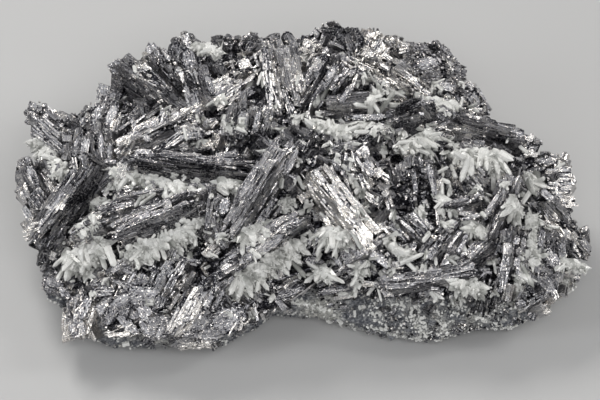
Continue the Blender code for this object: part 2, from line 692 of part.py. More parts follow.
def build():
    """Models the bed, the quartz groups and the galena that they grow on."""
    clear_scene()
    parts = make_collection(SPECIMEN)
    bed_cutters = make_collection("bed_cutters")
    galena_cutters = make_collection("galena_cutters")
    rock = make_material("rock", (0.15, 0.155, 0.18), 0.8, 0.0)
    galena = make_material("galena", (0.40, 0.41, 0.44), 0.3, 1.0)
    quartz = make_material("quartz", (0.86, 0.88, 0.84), 0.2, 0.0, 0.4)

    add_object("matrix_bed", bed_shape(), parts, rock)
    for cutters in (bed_cutters, galena_cutters):
        mark_helper(add_object("bed_cutter", bed_shape(BED_GAP), cutters))

    shapes = galena_shapes()
    ground = Ground(shapes)
    for comb in COMBS:
        group = fuse(comb.name, comb_shapes(ground, comb), parts, quartz)
        cut(group, bed_cutters)
        socket = comb_shapes(ground, comb, SOCKET_GAP)
        mark_helper(fuse(comb.name + "_socket", socket, galena_cutters, None))
    twins = fuse("galena_twins", shapes, parts, galena, GALENA_KEPT_SHARE)
    cut(twins, galena_cutters)


build()
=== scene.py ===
"""Dresses the galena specimen: twin blades in lamellae, combs of quartz, and the rock bed.

The show face is laid out on a plan that leans back from the floor. On the plan u runs to
the right and v runs up, and headings are degrees from +u towards +v. "Out" is square to
the plan. All lengths are millimetres until a mesh is made. Crystals are gathered as arrays
of points and faces, and each gathered group becomes one piece.
"""

import json
import logging
import math
from collections.abc import Iterator
from dataclasses import dataclass, field
from enum import Enum
from functools import cached_property, lru_cache
from typing import ClassVar

import bmesh
import bpy
import numpy as np
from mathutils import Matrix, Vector, noise
from mathutils.bvhtree import BVHTree

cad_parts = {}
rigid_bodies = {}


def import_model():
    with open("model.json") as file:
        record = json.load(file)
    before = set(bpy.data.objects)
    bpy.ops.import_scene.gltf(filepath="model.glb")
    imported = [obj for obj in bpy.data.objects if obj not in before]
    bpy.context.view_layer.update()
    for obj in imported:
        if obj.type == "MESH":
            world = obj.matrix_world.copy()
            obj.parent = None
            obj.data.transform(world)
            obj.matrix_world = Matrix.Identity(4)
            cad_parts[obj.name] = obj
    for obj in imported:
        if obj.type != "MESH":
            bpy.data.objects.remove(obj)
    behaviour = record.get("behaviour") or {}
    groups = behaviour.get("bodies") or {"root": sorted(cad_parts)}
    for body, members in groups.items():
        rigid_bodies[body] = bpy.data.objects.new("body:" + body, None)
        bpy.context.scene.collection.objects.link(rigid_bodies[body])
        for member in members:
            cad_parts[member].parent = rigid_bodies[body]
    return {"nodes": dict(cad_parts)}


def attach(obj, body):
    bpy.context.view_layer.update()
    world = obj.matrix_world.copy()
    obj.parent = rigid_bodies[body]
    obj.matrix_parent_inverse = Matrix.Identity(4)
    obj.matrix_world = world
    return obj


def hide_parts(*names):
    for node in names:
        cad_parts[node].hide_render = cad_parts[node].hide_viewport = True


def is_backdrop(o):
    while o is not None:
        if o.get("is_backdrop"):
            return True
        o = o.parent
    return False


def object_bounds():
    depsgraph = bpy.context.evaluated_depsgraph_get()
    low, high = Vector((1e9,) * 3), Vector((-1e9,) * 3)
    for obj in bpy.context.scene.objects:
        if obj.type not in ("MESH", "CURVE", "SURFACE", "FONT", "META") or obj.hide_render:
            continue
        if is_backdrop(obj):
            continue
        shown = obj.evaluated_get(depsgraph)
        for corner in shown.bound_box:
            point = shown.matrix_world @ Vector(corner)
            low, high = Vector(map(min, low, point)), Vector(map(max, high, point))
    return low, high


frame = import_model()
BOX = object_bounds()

log = logging.getLogger("specimen")

MM = 0.001
BODY = "root"
UP = np.array((0.0, 0.0, 1.0))
FAR_OUT = 400  # how far out from the plan a ray towards it starts
CRAG_OCTAVES = ((1.0, 1.0, 0.0), (2.7, 0.5, 0.5))  # scale, share and shift of each
DISC_LEAN = 66  # a blade that leans further is a disc
DISC_SPARE = (1, 1, 3)  # how far round a disc nothing else is set
TWIN_SPOTS = 5  # how many places stand for a twin when the nearest is sought
MIX_FIRST, MIX_SECOND, MIX_RESULT = 6, 7, 2  # the colour sockets of a mix node
TWIN_SEED, FLANK_SEED, COMB_SEED = 100, 200, 300
METAL_SEED, BED_SEED, CORE_SEED = 21, 22, 61

Array = np.ndarray
Rng = np.random.Generator
Material = bpy.types.Material
Socket = bpy.types.NodeSocket


def rows(kind: type, *table: tuple) -> tuple:
    """The items of a kind that the rows of a table describe."""
    return tuple(kind(*row) for row in table)


def unit(vector: Array) -> Array:
    """The vector at length one."""
    return vector / np.linalg.norm(vector)


def square_to(vector: Array, axis: Array) -> Array:
    """The part of a vector that is square to an axis, at length one."""
    return unit(vector - axis * vector.dot(axis))


def lengthwise(along: Array, out: Array) -> Array:
    """Three axes, one in each row: along, out, and square to both."""
    return np.array((along, out, np.cross(along, out)))


def facing(side: Array, normal: Array) -> Array:
    """Three axes, one in each row, of which the first is a side and the last a normal."""
    return np.array((side, np.cross(normal, side), normal))


def turned(axes: Array, degrees: float, rng: Rng) -> Array:
    """Three axes turned together by a small random turn.

    Args:
        axes: the axes, one in each row.
        degrees: how large a typical turn is.
        rng: the source of the turn.

    Returns:
        The turned axes, still square to each other.
    """
    spin = rng.normal(0, math.radians(degrees), 3)
    along = unit(axes[0] + spin[0] * axes[1] + spin[1] * axes[2])
    return lengthwise(along, square_to(axes[1] + spin[2] * axes[2], along))


def rolled(axes: Array, radians: float) -> Array:
    """Three axes rolled about the first."""
    cos, sin = math.cos(radians), math.sin(radians)
    return np.array((axes[0], cos * axes[1] + sin * axes[2], cos * axes[2] - sin * axes[1]))


def on_circle(radians: float) -> Array:
    """The place on a circle of radius one at an angle."""
    return np.array((math.cos(radians), math.sin(radians)))


def crags(point: Array, size: float, scale: float, seed: float) -> Array:
    """A craggy offset for a point.

    Args:
        point: the point.
        size: how large the offset is at most, about.
        scale: how closely the crags follow each other.
        seed: sets one pattern of crags apart from another.

    Returns:
        The offset.
    """
    offset = np.zeros(3)
    for octave, share, shift in CRAG_OCTAVES:
        place, shift = Vector(point * MM * scale * octave), seed + shift
        offset += share * np.array(
            [noise.noise(place + Vector((shift, 7.3 * axis, -shift))) for axis in range(3)]
        )
    return offset * size


class Plan:
    """The plan of the show face."""

    rise = math.radians(50)
    right = np.array((1.0, 0.0, 0.0))
    up = np.array((0.0, math.sin(rise), math.cos(rise)))
    out = np.array((0.0, -math.cos(rise), math.sin(rise)))
    shift = np.array((0.0, 26.0, 0.0))

    @classmethod
    def point(cls, u: float, v: float, out: float = 0.0) -> Array:
        """The place in the world of a place on the plan."""
        return cls.shift + u * cls.right + v * cls.up + out * cls.out

    @classmethod
    def heading(cls, degrees: float) -> Array:
        """The direction of a heading on the plan."""
        across, upward = on_circle(math.radians(degrees))
        return across * cls.right + upward * cls.up

    @classmethod
    def places(cls, points: Array) -> Array:
        """The u and v of places in the world, one row each."""
        local = points - cls.shift
        return np.stack((local @ cls.right, local @ cls.up), axis=1)

    @classmethod
    def towards_front(cls, normal: Array, share: float) -> Array:
        """A normal turned towards the front by a share."""
        return unit(normal * (1 - share) + cls.out * share)


@dataclass(frozen=True)
class Faces:
    """The faces of one kind of closed shape, in terms of its own points."""

    loops: Array
    totals: Array

    @classmethod
    def of(cls, faces: list) -> "Faces":
        """Packs a list of faces.

        Args:
            faces: each face as the numbers of its points.

        Returns:
            The same faces, packed.
        """
        return cls(
            np.concatenate([np.asarray(face, np.int32) for face in faces]),
            np.array([len(face) for face in faces], np.int32),
        )


def walls(sides: int) -> list:
    """The quads between a ring of points and the next."""
    after = [(i + 1) % sides for i in range(sides)]
    return [(i, after[i], after[i] + sides, i + sides) for i in range(sides)]


@lru_cache
def plate_faces(sides: int) -> Faces:
    """A flat plate: two caps, and a quad for each side of its outline."""
    back = list(range(sides))
    return Faces.of([back[::-1], [i + sides for i in back], *walls(sides)])


@lru_cache
def point_faces(sides: int) -> Faces:
    """A prism that ends in a pyramid, closed at its base."""
    tip = [(i + sides, (i + 1) % sides + sides, 2 * sides) for i in range(sides)]
    return Faces.of([list(range(sides))[::-1], *walls(sides), *tip])


@lru_cache
def ball(subdivisions: int) -> tuple:
    """The points and faces of a ball of radius one, made of triangles.

    Args:
        subdivisions: how often its triangles are parted.

    Returns:
        Its points, one row each, and its faces.
    """
    bm = bmesh.new()
    bmesh.ops.create_icosphere(bm, subdivisions=subdivisions, radius=1)
    points = np.array([vert.co[:] for vert in bm.verts])
    faces = Faces.of([[vert.index for vert in face.verts] for face in bm.faces])
    bm.free()
    return points, faces


def vectors(items: bpy.types.bpy_prop_collection, name: str, kind: type = float) -> Array:
    """Reads three numbers of each item of a mesh.

    Args:
        items: the mesh's points or triangles.
        name: what is read of each.
        kind: the type of the numbers.

    Returns:
        The numbers, one row for each item.
    """
    values = np.zeros(len(items) * 3, kind)
    items.foreach_get(name, values)
    return values.reshape(-1, 3)


def boxed(points: Array) -> Array:
    """Points in millimetres as metres, held inside the frame's box."""
    return np.clip(points * MM, *(np.array(corner) for corner in BOX)).ravel()


def finish_piece(
    mesh: bpy.types.Mesh, slot: str, material: Material, tones: Array, places: Array
) -> bpy.types.Object:
    """Makes a piece of a mesh and sets it on the body.

    Args:
        mesh: the mesh, which gives the piece its name.
        slot: not used.
        material: its finish.
        tones: how bright each point is.
        places: where each point is in its own crystal's grain.

    Returns:
        The new object.
    """
    mesh.shade_flat()
    mesh.attributes.new("tone", "FLOAT", "POINT").data.foreach_set("value", tones)
    grain = mesh.attributes.new("grain", "FLOAT_VECTOR", "POINT")
    grain.data.foreach_set("vector", places.ravel())
    mesh.materials.clear()
    mesh.materials.append(material)
    mesh.calc_loop_triangles()
    log.info("%s: %d triangles", mesh.name, len(mesh.loop_triangles))
    piece = bpy.data.objects.new(mesh.name, mesh)
    bpy.context.scene.collection.objects.link(piece)
    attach(piece, BODY)
    return piece


class Shards:
    """Closed shapes gathered into one mesh, with the values that their finish reads."""

    def __init__(self) -> None:
        """Starts with no shape."""
        self.points: list[Array] = []
        self.loops: list[Array] = []
        self.totals: list[Array] = []
        self.tones: list[Array] = []
        self.grains: list[Array] = []
        self.count = 0

    def add(self, local: Array, origin: Array, axes: Array, tone: float, faces: Faces) -> None:
        """Adds one shape.

        Args:
            local: its points along its own three axes.
            origin: where its own origin stands.
            axes: its axes in the world, one in each row.
            tone: how bright its faces are.
            faces: its faces.
        """
        self.points.append(origin + local @ axes)
        self.loops.append(faces.loops + self.count)
        self.totals.append(faces.totals)
        self.tones.append(np.full(len(local), tone))
        self.grains.append(local + (self.count * 7.31) % 977)
        self.count += len(local)

    def lay(self, local: Array, origin: Array, axes: Array, tone: float) -> None:
        """Adds one plate, as add does, with the faces that its points call for."""
        self.add(local, origin, axes, tone, plate_faces(len(local) // 2))

    def piece(self, name: str, material: Material, slot: str) -> None:
        """Makes the piece, inside the frame's box.

        Args:
            name: the piece's name.
            material: its finish.
            slot: passed on to finish_piece, which does not use it.
        """
        points, totals = np.concatenate(self.points), np.concatenate(self.totals)
        mesh = bpy.data.meshes.new(name)
        mesh.vertices.add(len(points))
        mesh.vertices.foreach_set("co", boxed(points))
        mesh.loops.add(int(totals.sum()))
        mesh.loops.foreach_set("vertex_index", np.concatenate(self.loops))
        mesh.polygons.add(len(totals))
        mesh.polygons.foreach_set("loop_start", np.cumsum(totals) - totals)
        mesh.update(calc_edges=True)
        tones, grains = np.concatenate(self.tones), np.concatenate(self.grains)
        finish_piece(mesh, slot, material, tones, grains)


class Seeded:
    """A group whose random numbers come from its own seed."""

    @cached_property
    def rng(self) -> Rng:
        """The source of its random numbers."""
        return np.random.default_rng(self.seed)


@dataclass(kw_only=True)
class Growth(Seeded):
    """Crystals that are gathered into one piece."""

    title: ClassVar[str]
    slot: ClassVar[str] = "galena"
    shards: Shards = field(default_factory=Shards)

    def build(self) -> None:
        """Gathers the crystals."""
        raise NotImplementedError

    def dress(self, material: Material) -> None:
        """Makes the piece."""
        self.shards.piece(self.title, material, self.slot)


class Sheen(Enum):
    """How bright the faces of a crystal are painted: painted sheen, from painted shade to painted
    highlight.
    """

    DARK = 0.25
    GREY = 0.38
    SILVER = 0.57
    BRIGHT = 0.74

    @property
    def shines(self) -> bool:
        """Whether its cleavage catches the light."""
        return self in (Sheen.SILVER, Sheen.BRIGHT)


DARK, GREY, SILVER, BRIGHT = Sheen


@dataclass(frozen=True)
class Blade:
    """A flattened twin on the plan.

    Its breadth stands out of the mass at lean 0 and lies in the plan at lean 90.
    """

    u: float
    v: float
    heading: float
    length: float
    breadth: float
    thick: float
    lean: float = 0
    lift: float = 0
    sheen: Sheen = GREY


# Each blade's sheen is painted light: its faces are painted brighter or darker by how they catch
# the light.
BLADES = {
    "upper_left_blades": rows(
        Blade,
        (-131, 38, -37, 28, 18, 11, 22, 1), (-116, 37, -28, 13, 14, 5, 20, 1),
        (-106, 39, 80, 15, 13, 6, 60, 3), (-98, 43, 85, 18, 13, 6, 60, 4),
        (-98, 53, 60, 11, 14, 7, 50, 1), (-116, 26, 85, 19, 15, 6, 50, 2),
        (-107, 25, 80, 20, 15, 6, 45, 3, SILVER), (-98, 25, 95, 20, 16, 7, 50, 3),
        (-79, 51, -40, 50, 24, 9, 22, 4, DARK), (-71, 62, -50, 28, 20, 6, 18, 3),
        (-82, 66, -30, 11, 14, 7, 45, 2, BRIGHT), (-64, 73, -70, 22, 20, 8, 62, 3),
        (-54, 53, -70, 32, 20, 7, 22, 5, DARK), (-71, 38, 45, 14, 14, 5, 38, 4, DARK),
        (-71, 25, 26, 48, 24, 10, 32, 4, SILVER),
    ),
    "top_blades": rows(
        Blade,
        (-48, 60, -60, 23, 18, 7, 40, 3, DARK), (-37, 51, 35, 15, 14, 7, 68, 4, BRIGHT),
        (-28, 60, 30, 15, 20, 4, 15, 3, BRIGHT), (-25, 79, 50, 14, 14, 5, 40, 1, DARK),
        (-10, 59, -78, 40, 26, 14, 14, 4, SILVER), (6, 72, -10, 13, 16, 7, 40, 2, BRIGHT),
        (0, 56, -80, 15, 20, 5, 58, 5, BRIGHT), (12, 56, 58, 37, 22, 9, 28, 4, DARK),
        (26, 53, 52, 20, 18, 6, 32, 5, DARK), (25, 78, -65, 21, 18, 8, 38, 1, DARK),
        (42, 80, 60, 10, 14, 5, 30, 2, BRIGHT), (48, 74, -35, 13, 16, 5, 28, 3, BRIGHT),
        (35, 67, -20, 17, 18, 5, 28, 4, SILVER), (47, 60, -30, 20, 18, 6, 28, 4, SILVER),
        (82, 67, -30, 18, 14, 7, 40, 0),
    ),
    "centre_blades": rows(
        Blade,
        (29, 41, 2, 34, 18, 6, 32, 5), (-27, 36, 80, 21, 17, 9, 42, 4),
        (-15, 31, 70, 15, 14, 6, 48, 4), (-54, 9, -6, 71, 22, 7, 28, 4, DARK),
        (-17, 1, 58, 63, 26, 9, 26, 5), (-11, 7, 45, 35, 22, 6, 22, 4),
        (-43, -6, 70, 14, 13, 7, 58, 4, DARK), (-32, -9, 75, 14, 13, 7, 58, 4, DARK),
        (18, -9, -52, 49, 24, 11, 28, 5, BRIGHT), (29, 11, -60, 23, 18, 9, 32, 4, SILVER),
        (37, -2, -35, 12, 16, 5, 28, 4, SILVER), (46, -5, 60, 12, 14, 7, 48, 4, SILVER),
        (57, -19, -45, 22, 18, 7, 28, 4), (60, 10, 85, 17, 15, 6, 38, 5, DARK),
        (67, 8, 80, 16, 15, 5, 38, 4, DARK), (60, 36, 20, 28, 18, 6, 32, 5, DARK),
        (-2, 25, -30, 20, 16, 6, 40, 3), (38, 25, 35, 20, 16, 6, 35, 3),
        (8, 24, 60, 22, 16, 6, 30, 3, DARK),
    ),
    "left_blades": rows(
        Blade,
        (-138, 1, -68, 35, 16, 8, 28, 1), (-143, 8, -60, 19, 12, 6, 30, 0),
        (-129, 9, -65, 21, 16, 7, 38, 3, DARK), (-116, -7, 54, 54, 24, 12, 30, 3, DARK),
        (-104, -20, 16, 23, 18, 6, 32, 4), (-91, -13, 17, 28, 18, 7, 30, 4),
        (-69, -17, 23, 50, 24, 10, 36, 5, DARK), (-78, -4, 8, 33, 18, 6, 28, 3),
        (-61, -42, 60, 22, 18, 7, 32, 4, SILVER), (-84, -37, 30, 26, 16, 8, 40, 2),
        (-124, -27, 60, 22, 16, 8, 40, 1, DARK), (-137, -18, -50, 16, 12, 7, 35, 0, SILVER),
    ),
    "lower_blades": rows(
        Blade,
        (-17, -27, 33, 53, 22, 7, 28, 5), (23, -41, 20, 31, 16, 6, 32, 3),
        (29, -32, 40, 21, 16, 6, 28, 4), (-43, -49, 55, 17, 16, 6, 28, 3),
        (-30, -50, -35, 12, 14, 5, 30, 2), (65, -43, 8, 54, 16, 6, 32, 2),
        (99, -51, 80, 27, 15, 8, 55, 2, DARK), (-110, -62, 90, 21, 16, 6, 80, 3, SILVER),
        (-78, -52, 60, 25, 22, 6, 78, 4), (-91, -60, 30, 14, 12, 5, 75, 3),
        (-71, -67, 10, 18, 14, 6, 78, 2), (-46, -61, 60, 35, 29, 7, 76, 4, BRIGHT),
        (120, -53, 30, 20, 12, 7, 60, 1),
    ),
    "right_blades": rows(
        Blade,
        (84, 34, -11, 19, 16, 5, 28, 4), (94, 29, -12, 43, 20, 7, 28, 3),
        (119, 24, -15, 12, 14, 7, 48, 2, SILVER), (87, -8, 25, 16, 16, 6, 38, 3),
        (103, -10, 65, 41, 20, 7, 28, 4), (72, -27, 55, 21, 18, 8, 32, 4),
        (134, 6, 82, 32, 20, 9, 74, 3, BRIGHT), (127, -9, -48, 25, 18, 7, 28, 2),
        (139, -20, -50, 30, 14, 7, 33, 0, SILVER), (128, -34, 80, 33, 22, 6, 72, 3),
        (117, -32, 85, 30, 16, 6, 68, 3), (109, -26, 85, 23, 18, 6, 38, 3),
        (85, 8, -50, 22, 16, 6, 34, 3), (104, 14, -35, 24, 16, 6, 34, 3),
        (92, -30, 40, 24, 16, 6, 34, 3),
    ),
}


@dataclass(frozen=True)
class FlankBlade:
    """A twin on the back or an end: bearing round the specimen and place up its edge."""

    bearing: float
    level: float
    heading: float
    length: float
    breadth: float
    thick: float


FLANK_BLADES = rows(
    FlankBlade,
    (32, 0.95, 30, 26, 18, 8), (52, 0.80, -40, 32, 20, 9), (74, 0.95, 55, 28, 18, 8),
    (96, 0.75, -20, 36, 20, 9), (116, 0.95, 40, 30, 18, 8), (136, 0.80, -55, 30, 20, 9),
    (154, 0.85, 25, 26, 18, 8), (172, 0.65, -30, 24, 16, 7), (8, 0.75, -45, 24, 16, 7),
)


@dataclass(frozen=True)
class Comb:
    """Quartz along a line on the plan, from its first end to its second.

    The heading is the mean heading of its points and the fan how far they spread. The bulk
    is half the breadth of its crust. Its node, if it has one, is the solid that it dresses.
    """

    name: str
    u1: float
    v1: float
    u2: float
    v2: float
    heading: float
    fan: float
    length: float
    radius: float
    bulk: float = 2.4


COMBS = rows(
    Comb,
    ("band_left_edge", -138, 30, -121, 10, 205, 50, 10, 1.2, 3.2),
    ("comb_upper_left", -97, 14, -50, 1, -72, 40, 12, 1.3, 6.0),
    ("comb_left", -104, -10, -115, -19, -60, 30, 9, 1.2),
    ("spray_left", -119, -32, -97, -24, -85, 70, 14, 1.5, 5.5),
    ("comb_lower_left", -88, -30, -48, -12, -62, 40, 12, 1.3, 4.2),
    ("spray_centre", -30, -20, -15, -14, -45, 110, 13, 1.3, 3.6),
    ("comb_lower_centre", -36, -46, -1, -22, -50, 40, 12, 1.3, 4.0),
    ("star_upper_right", 35, 48, 43, 55, 65, 150, 12, 1.0, 0.5),
    ("comb_upper_centre", 6, 37, 24, 32, -85, 120, 11, 1.3, 3.6),
    ("comb_upper_right", 31, 35, 47, 33, -85, 50, 10, 1.2),
    ("comb_centre_right", 51, 23, 68, 33, -55, 40, 12, 1.3, 3.0),
    ("comb_right", 79, 21, 104, 20, -88, 60, 15, 1.4, 5.0),
    ("spike_right", 117, 10, 123, 6, -72, 60, 14, 1.6),
    ("spray_right", 86, -15, 92, -18, -60, 120, 11, 1.3, 1.5),
    ("tuft_centre_right", 71, -2, 76, -5, -70, 60, 10, 1.3, 1.4),
    ("tuft_middle_right", 46, -25, 54, -29, -25, 110, 11, 1.4, 0.9),
    ("sheaf_right", 106, -1, 111, -8, -105, 30, 12, 1.3),
    ("comb_far_right", 117, -10, 117, -34, -10, 40, 9, 1.2),
    ("spray_lower_centre", 11, -18, 23, -19, -75, 70, 12, 1.3, 3.6),
    ("cross_lower", 9, -38, 15, -39, -90, 150, 10, 1.1),
    ("crust_right_tip", 133, -32, 146, -37, -75, 70, 6, 1.0, 1.6),
    ("tuft_front_right", 78, -42, 92, -46, -80, 60, 9, 1.2),
    ("comb_top_left", -56, 79, -43, 76, -80, 50, 9, 1.2, 3.2),
    ("tuft_upper_right", 66, 50, 82, 46, -90, 40, 10, 1.2),
    ("points_centre", -41, 6, -31, 5, -50, 50, 10, 1.2),
)
TUFTS = rows(
    Comb,
    ("tuft_left", -107, -2, -97, -5, -60, 60, 7, 1.0),
    ("pair_centre", -11, -5, -6, -3, -45, 60, 7, 1.0),
    ("tuft_upper_centre", 7, 50, 13, 47, -70, 80, 7, 1.0),
    ("crust_right", 111, -38, 111, -52, -20, 60, 6, 1.0),
    ("tuft_middle", 30, 5, 33, 2, -60, 70, 8, 1.1),
    ("tuft_lower", 28, -35, 33, -37, -110, 60, 9, 1.1),
    ("tuft_top", -40, 40, -33, 36, -60, 60, 7, 1.0),
)

WORN = {                                 # combs whose solid gives way to a core, and its tone
    "spike_right": 0.0, "tuft_middle_right": 0.0, "crust_right_tip": -0.3,
    "star_upper_right": 0.0, "comb_top_left": -0.1, "tuft_upper_right": 0.0,
}


@dataclass(frozen=True)
class Prism:
    """One large quartz crystal: its foot and its tip on the plan, and its radius."""

    u1: float
    v1: float
    u2: float
    v2: float
    radius: float


PRISMS = rows(
    Prism,
    (-108, -32, -110, -45, 1.7), (-102, -32, -104, -42, 1.1), (-97, -27, -92, -38, 2.1),
    (-112, -30, -117, -38, 1.3), (-100, -24, -108, -29, 1.6), (-92, -26, -88, -33, 1.3),
    (-68, -26, -56, -35, 1.5), (-80, -30, -83, -38, 1.2), (-72, -29, -75, -39, 1.1),
    (-60, -18, -57, -26, 1.1), (-29, -22, -17, -29, 1.3), (-23, -17, -17, -29, 1.3),
    (-5, -32, 4, -42, 1.4), (-20, -38, -22, -49, 1.3), (-31, -43, -36, -50, 1.3),
    (73, 18, 73, 6, 1.3), (78, 15, 81, 2, 1.3), (99, 18, 99, 2, 1.4), (87, 18, 87, 8, 2.2),
    (92, 22, 84, 15, 1.4), (96, 20, 105, 12, 1.2), (36.5, 46, 36.3, 60, 1.6),
    (38, 45.5, 51, 62, 1.8), (46, 57, 56, 51, 1.4), (45, 56, 48, 48, 1.2),
    (36, 59.5, 30.5, 57, 1.1), (35.5, 46.5, 26.5, 47.5, 1.3), (35.5, 47, 30.5, 51, 1.2),
    (45.5, 47.3, 56.4, 46.7, 1.6), (123, 12, 128, -5, 2.6), (113, 8, 117, -3, 1.6),
    (119, 3, 112, -6, 1.5), (91, -15, 98, -21, 1.1), (87, -15, 86, -22, 1.0),
    (85, 50, 81, 41, 1.8), (64, 52, 64, 42, 0.9), (-79, 2, -84, -6, 1.1), (-74, 1, -82, -5, 1.2),
    (-68, 3, -66, -6, 1.2), (-91, 12, -98, 15, 1.4), (-93, 15, -84, 22, 2.5),
    (-60, 4, -58, -4, 1.1), (-42, 5, -33, -1, 1.7), (-30, 4, -28, -2, 1.3), (8, 54, 12, 43, 1.6),
    (14, 56, 9, 47, 1.3), (22, 75, 11, 68, 1.7), (20, -20, 16, -31, 1.3), (26, -18, 31, -27, 1.2),
    (14, -20, 8, -28, 1.2), (8, -36, 17, -43, 1.0), (17, -35, 9, -43, 1.0),
    (31, -36, 25, -46, 1.1), (52, -33, 63, -28, 1.2), (53, -32, 59, -38, 1.2),
    (27, 28, 25, 19, 1.2), (10, 37, 13, 26, 1.3), (17, 35, 20, 25, 1.3), (58, 29, 60, 20, 1.2),
    (66, 33, 69, 25, 1.2), (-137, 30, -141, 22, 2.2), (-131, 24, -136, 17, 1.8),
    (-125, 18, -130, 9, 1.8), (112, -35, 118, -46, 1.6), (75, -2, 76, -12, 1.1),
)


class Form:
    """The specimen's edge and the mass between its blades."""

    centre = (0, 4)
    rim = (
        (-138, 38), (-124, 37), (-113, 35), (-106, 43), (-98, 52), (-95, 61), (-85, 65),
        (-74, 67), (-65, 77), (-55, 81), (-39, 81), (-20, 82), (0, 82), (21, 85), (40, 88),
        (51, 81), (68, 76), (80, 72), (86, 61), (96, 50), (110, 37), (123, 29), (134, 18),
        (140, 5), (137, -7), (140, -20), (148, -32), (143, -42), (131, -51), (115, -61),
        (94, -64), (73, -68), (55, -65), (31, -61), (10, -55), (-16, -55), (-27, -64),
        (-42, -73), (-60, -71), (-78, -72), (-99, -71), (-114, -67), (-117, -54), (-133, -47),
        (-135, -32), (-139, -19), (-144, -5), (-146, 8), (-140, 23),
    )
    front = (-72, 21)  # v at the front of the edge, and its height above the floor
    back = (86, 57)
    crest = 71
    dome_power = 2.1
    seat_drop = 0.42  # share of the edge's height that the seat drops by at the back
    rings = ((0.86, 0, -7), (0.965, 0, 1), (0.965, 0.95, 2), (0.87, 1.0, 11))
    dome_shares = (0.70, 0.48, 0.22)
    roughness = (4.5, 45, 11)  # size, scale and seed of the crags
    every = 2
    bare = (-25, 118, -48)  # the mass draws back between these u and below this v
    bare_share = 0.87
    bare_rise = 4
    edge_pull = 0.25

    def __init__(self) -> None:
        """Builds the mass, and a tree of it for rays."""
        points, faces = self.mass()
        self.tree = BVHTree.FromPolygons([tuple(p) for p in points], faces)

    def edge_height(self, v: float) -> float:
        """Height of the edge above the floor where the plan's v crosses it."""
        share = (v - self.front[0]) / (self.back[0] - self.front[0])
        return self.front[1] + (self.back[1] - self.front[1]) * min(max(share, 0), 1)

    def on_edge(self, u: float, v: float) -> Array:
        """The place in the world of a point of the edge, from its place on the plan."""
        height = self.edge_height(v)
        return np.array((u, (v - height * Plan.up[2]) / Plan.up[1], height)) + Plan.shift

    def seat(self, edge: Array) -> float:
        """Height of the bed's upper edge under a point of the specimen's edge."""
        share = (edge[2] - self.front[1]) / (self.back[1] - self.front[1])
        return edge[2] * (1 - self.seat_drop * share)

    def drawn_in(self, point: Array, share: float, height: float) -> Array:
        """A point of the edge, at a share of its distance from the centre and at a height."""
        middle = self.on_edge(*self.centre) * (1, 1, 0)
        return middle + (point * (1, 1, 0) - middle) * share + UP * height

    def edge(self) -> list:
        """The edge, drawn in where the bed lies bare before the mass.

        Returns:
            Its points.
        """
        points = []
        for u, v in self.rim[:: self.every]:
            point = self.on_edge(u, v)
            if self.bare[0] < u < self.bare[1] and v < self.bare[2]:
                point = self.drawn_in(point, self.bare_share, point[2] + self.bare_rise)
            points.append(point)
        return points

    def mass(self) -> tuple:
        """Builds the mass's flank and top.

        Returns:
            Its points and its faces.
        """
        edge, rings = self.edge(), []
        for share, level, rise in self.rings:
            seats = [self.seat(point) for point in edge]
            heights = [seat + (p[2] - seat) * level + rise for p, seat in zip(edge, seats)]
            rings.append([self.drawn_in(p, share, height) for p, height in zip(edge, heights)])
        rings = [[place + crags(place, *self.roughness) for place in ring] for ring in rings]
        shoulder = rings[-1]
        for share in self.dome_shares:
            inner = share / self.rings[-1][0]
            swell = 1 - inner**self.dome_power
            heights = [base[2] + (self.crest - base[2]) * swell for base in shoulder]
            ring = [self.drawn_in(p, inner, height) for p, height in zip(shoulder, heights)]
            rings.append([place + crags(place, *self.roughness) for place in ring])
        count = len(edge)
        faces = [list(range((len(rings) - 1) * count, len(rings) * count))]
        for row in range(len(rings) - 1):
            faces += [[row * count + corner for corner in wall] for wall in walls(count)]
        return [place for ring in rings for place in ring], faces

    def site(self, u: float, v: float) -> tuple:
        """What a blade at a place on the plan stands on.

        Args:
            u: how far to the right on the plan.
            v: the place up the plan.

        Returns:
            The point of the mass there, and its outward direction.
        """
        start = Vector(Plan.point(u, v, FAR_OUT))
        place, normal, _, _ = self.tree.ray_cast(start, Vector(-Plan.out))
        if place is None:
            level = (self.edge_height(v) - v * Plan.up[2]) / Plan.out[2]
            start = Vector(Plan.point(u, v, level))
            near, normal, _, _ = self.tree.find_nearest(start)
            place = start.lerp(near, self.edge_pull)
        normal = np.array(normal)
        if normal @ Plan.out < 0:
            normal = -normal
        return np.array(place), unit(normal + Plan.out)


def blade_axes(blade: Blade, normal: Array) -> tuple:
    """The axes of a blade that follows the surface under it.

    Args:
        blade: the blade.
        normal: the outward direction of the surface.

    Returns:
        Its axes along, out and across, one in each row, and how far it is stretched.
    """
    along = Plan.heading(blade.heading)
    slope = -along.dot(normal) / max(Plan.out.dot(normal), 0.5)
    along = along + Plan.out * max(-0.8, min(0.8, slope)) * 0.8
    stretch = float(np.linalg.norm(along))
    along = unit(along)
    out = square_to(normal, along)
    tip = math.radians(blade.lean)
    raised = math.cos(tip) * out + math.sin(tip) * np.cross(out, along)
    return lengthwise(along, raised), stretch


class Seats:
    """Surfaces that crystals are set on, seen from the front of the plan."""

    def __init__(self, trees: list, scale: float = 1.0) -> None:
        """Keeps the trees of the surfaces, and the length of a millimetre in them."""
        self.trees = trees
        self.scale = scale

    def site(self, u: float, v: float) -> tuple | None:
        """What is foremost at a place on the plan.

        Args:
            u: how far to the right on the plan.
            v: the place up the plan.

        Returns:
            The point of the surface and its normal there, or None where it has none.
        """
        start, back = Vector(Plan.point(u, v, FAR_OUT) * self.scale), Vector(-Plan.out)
        hits = [tree.ray_cast(start, back) for tree in self.trees]
        hits = [hit for hit in hits if hit[0] is not None]
        if not hits:
            return None
        place, normal, _, _ = min(hits, key=lambda hit: hit[3])
        return np.array(place) / self.scale, np.array(normal)


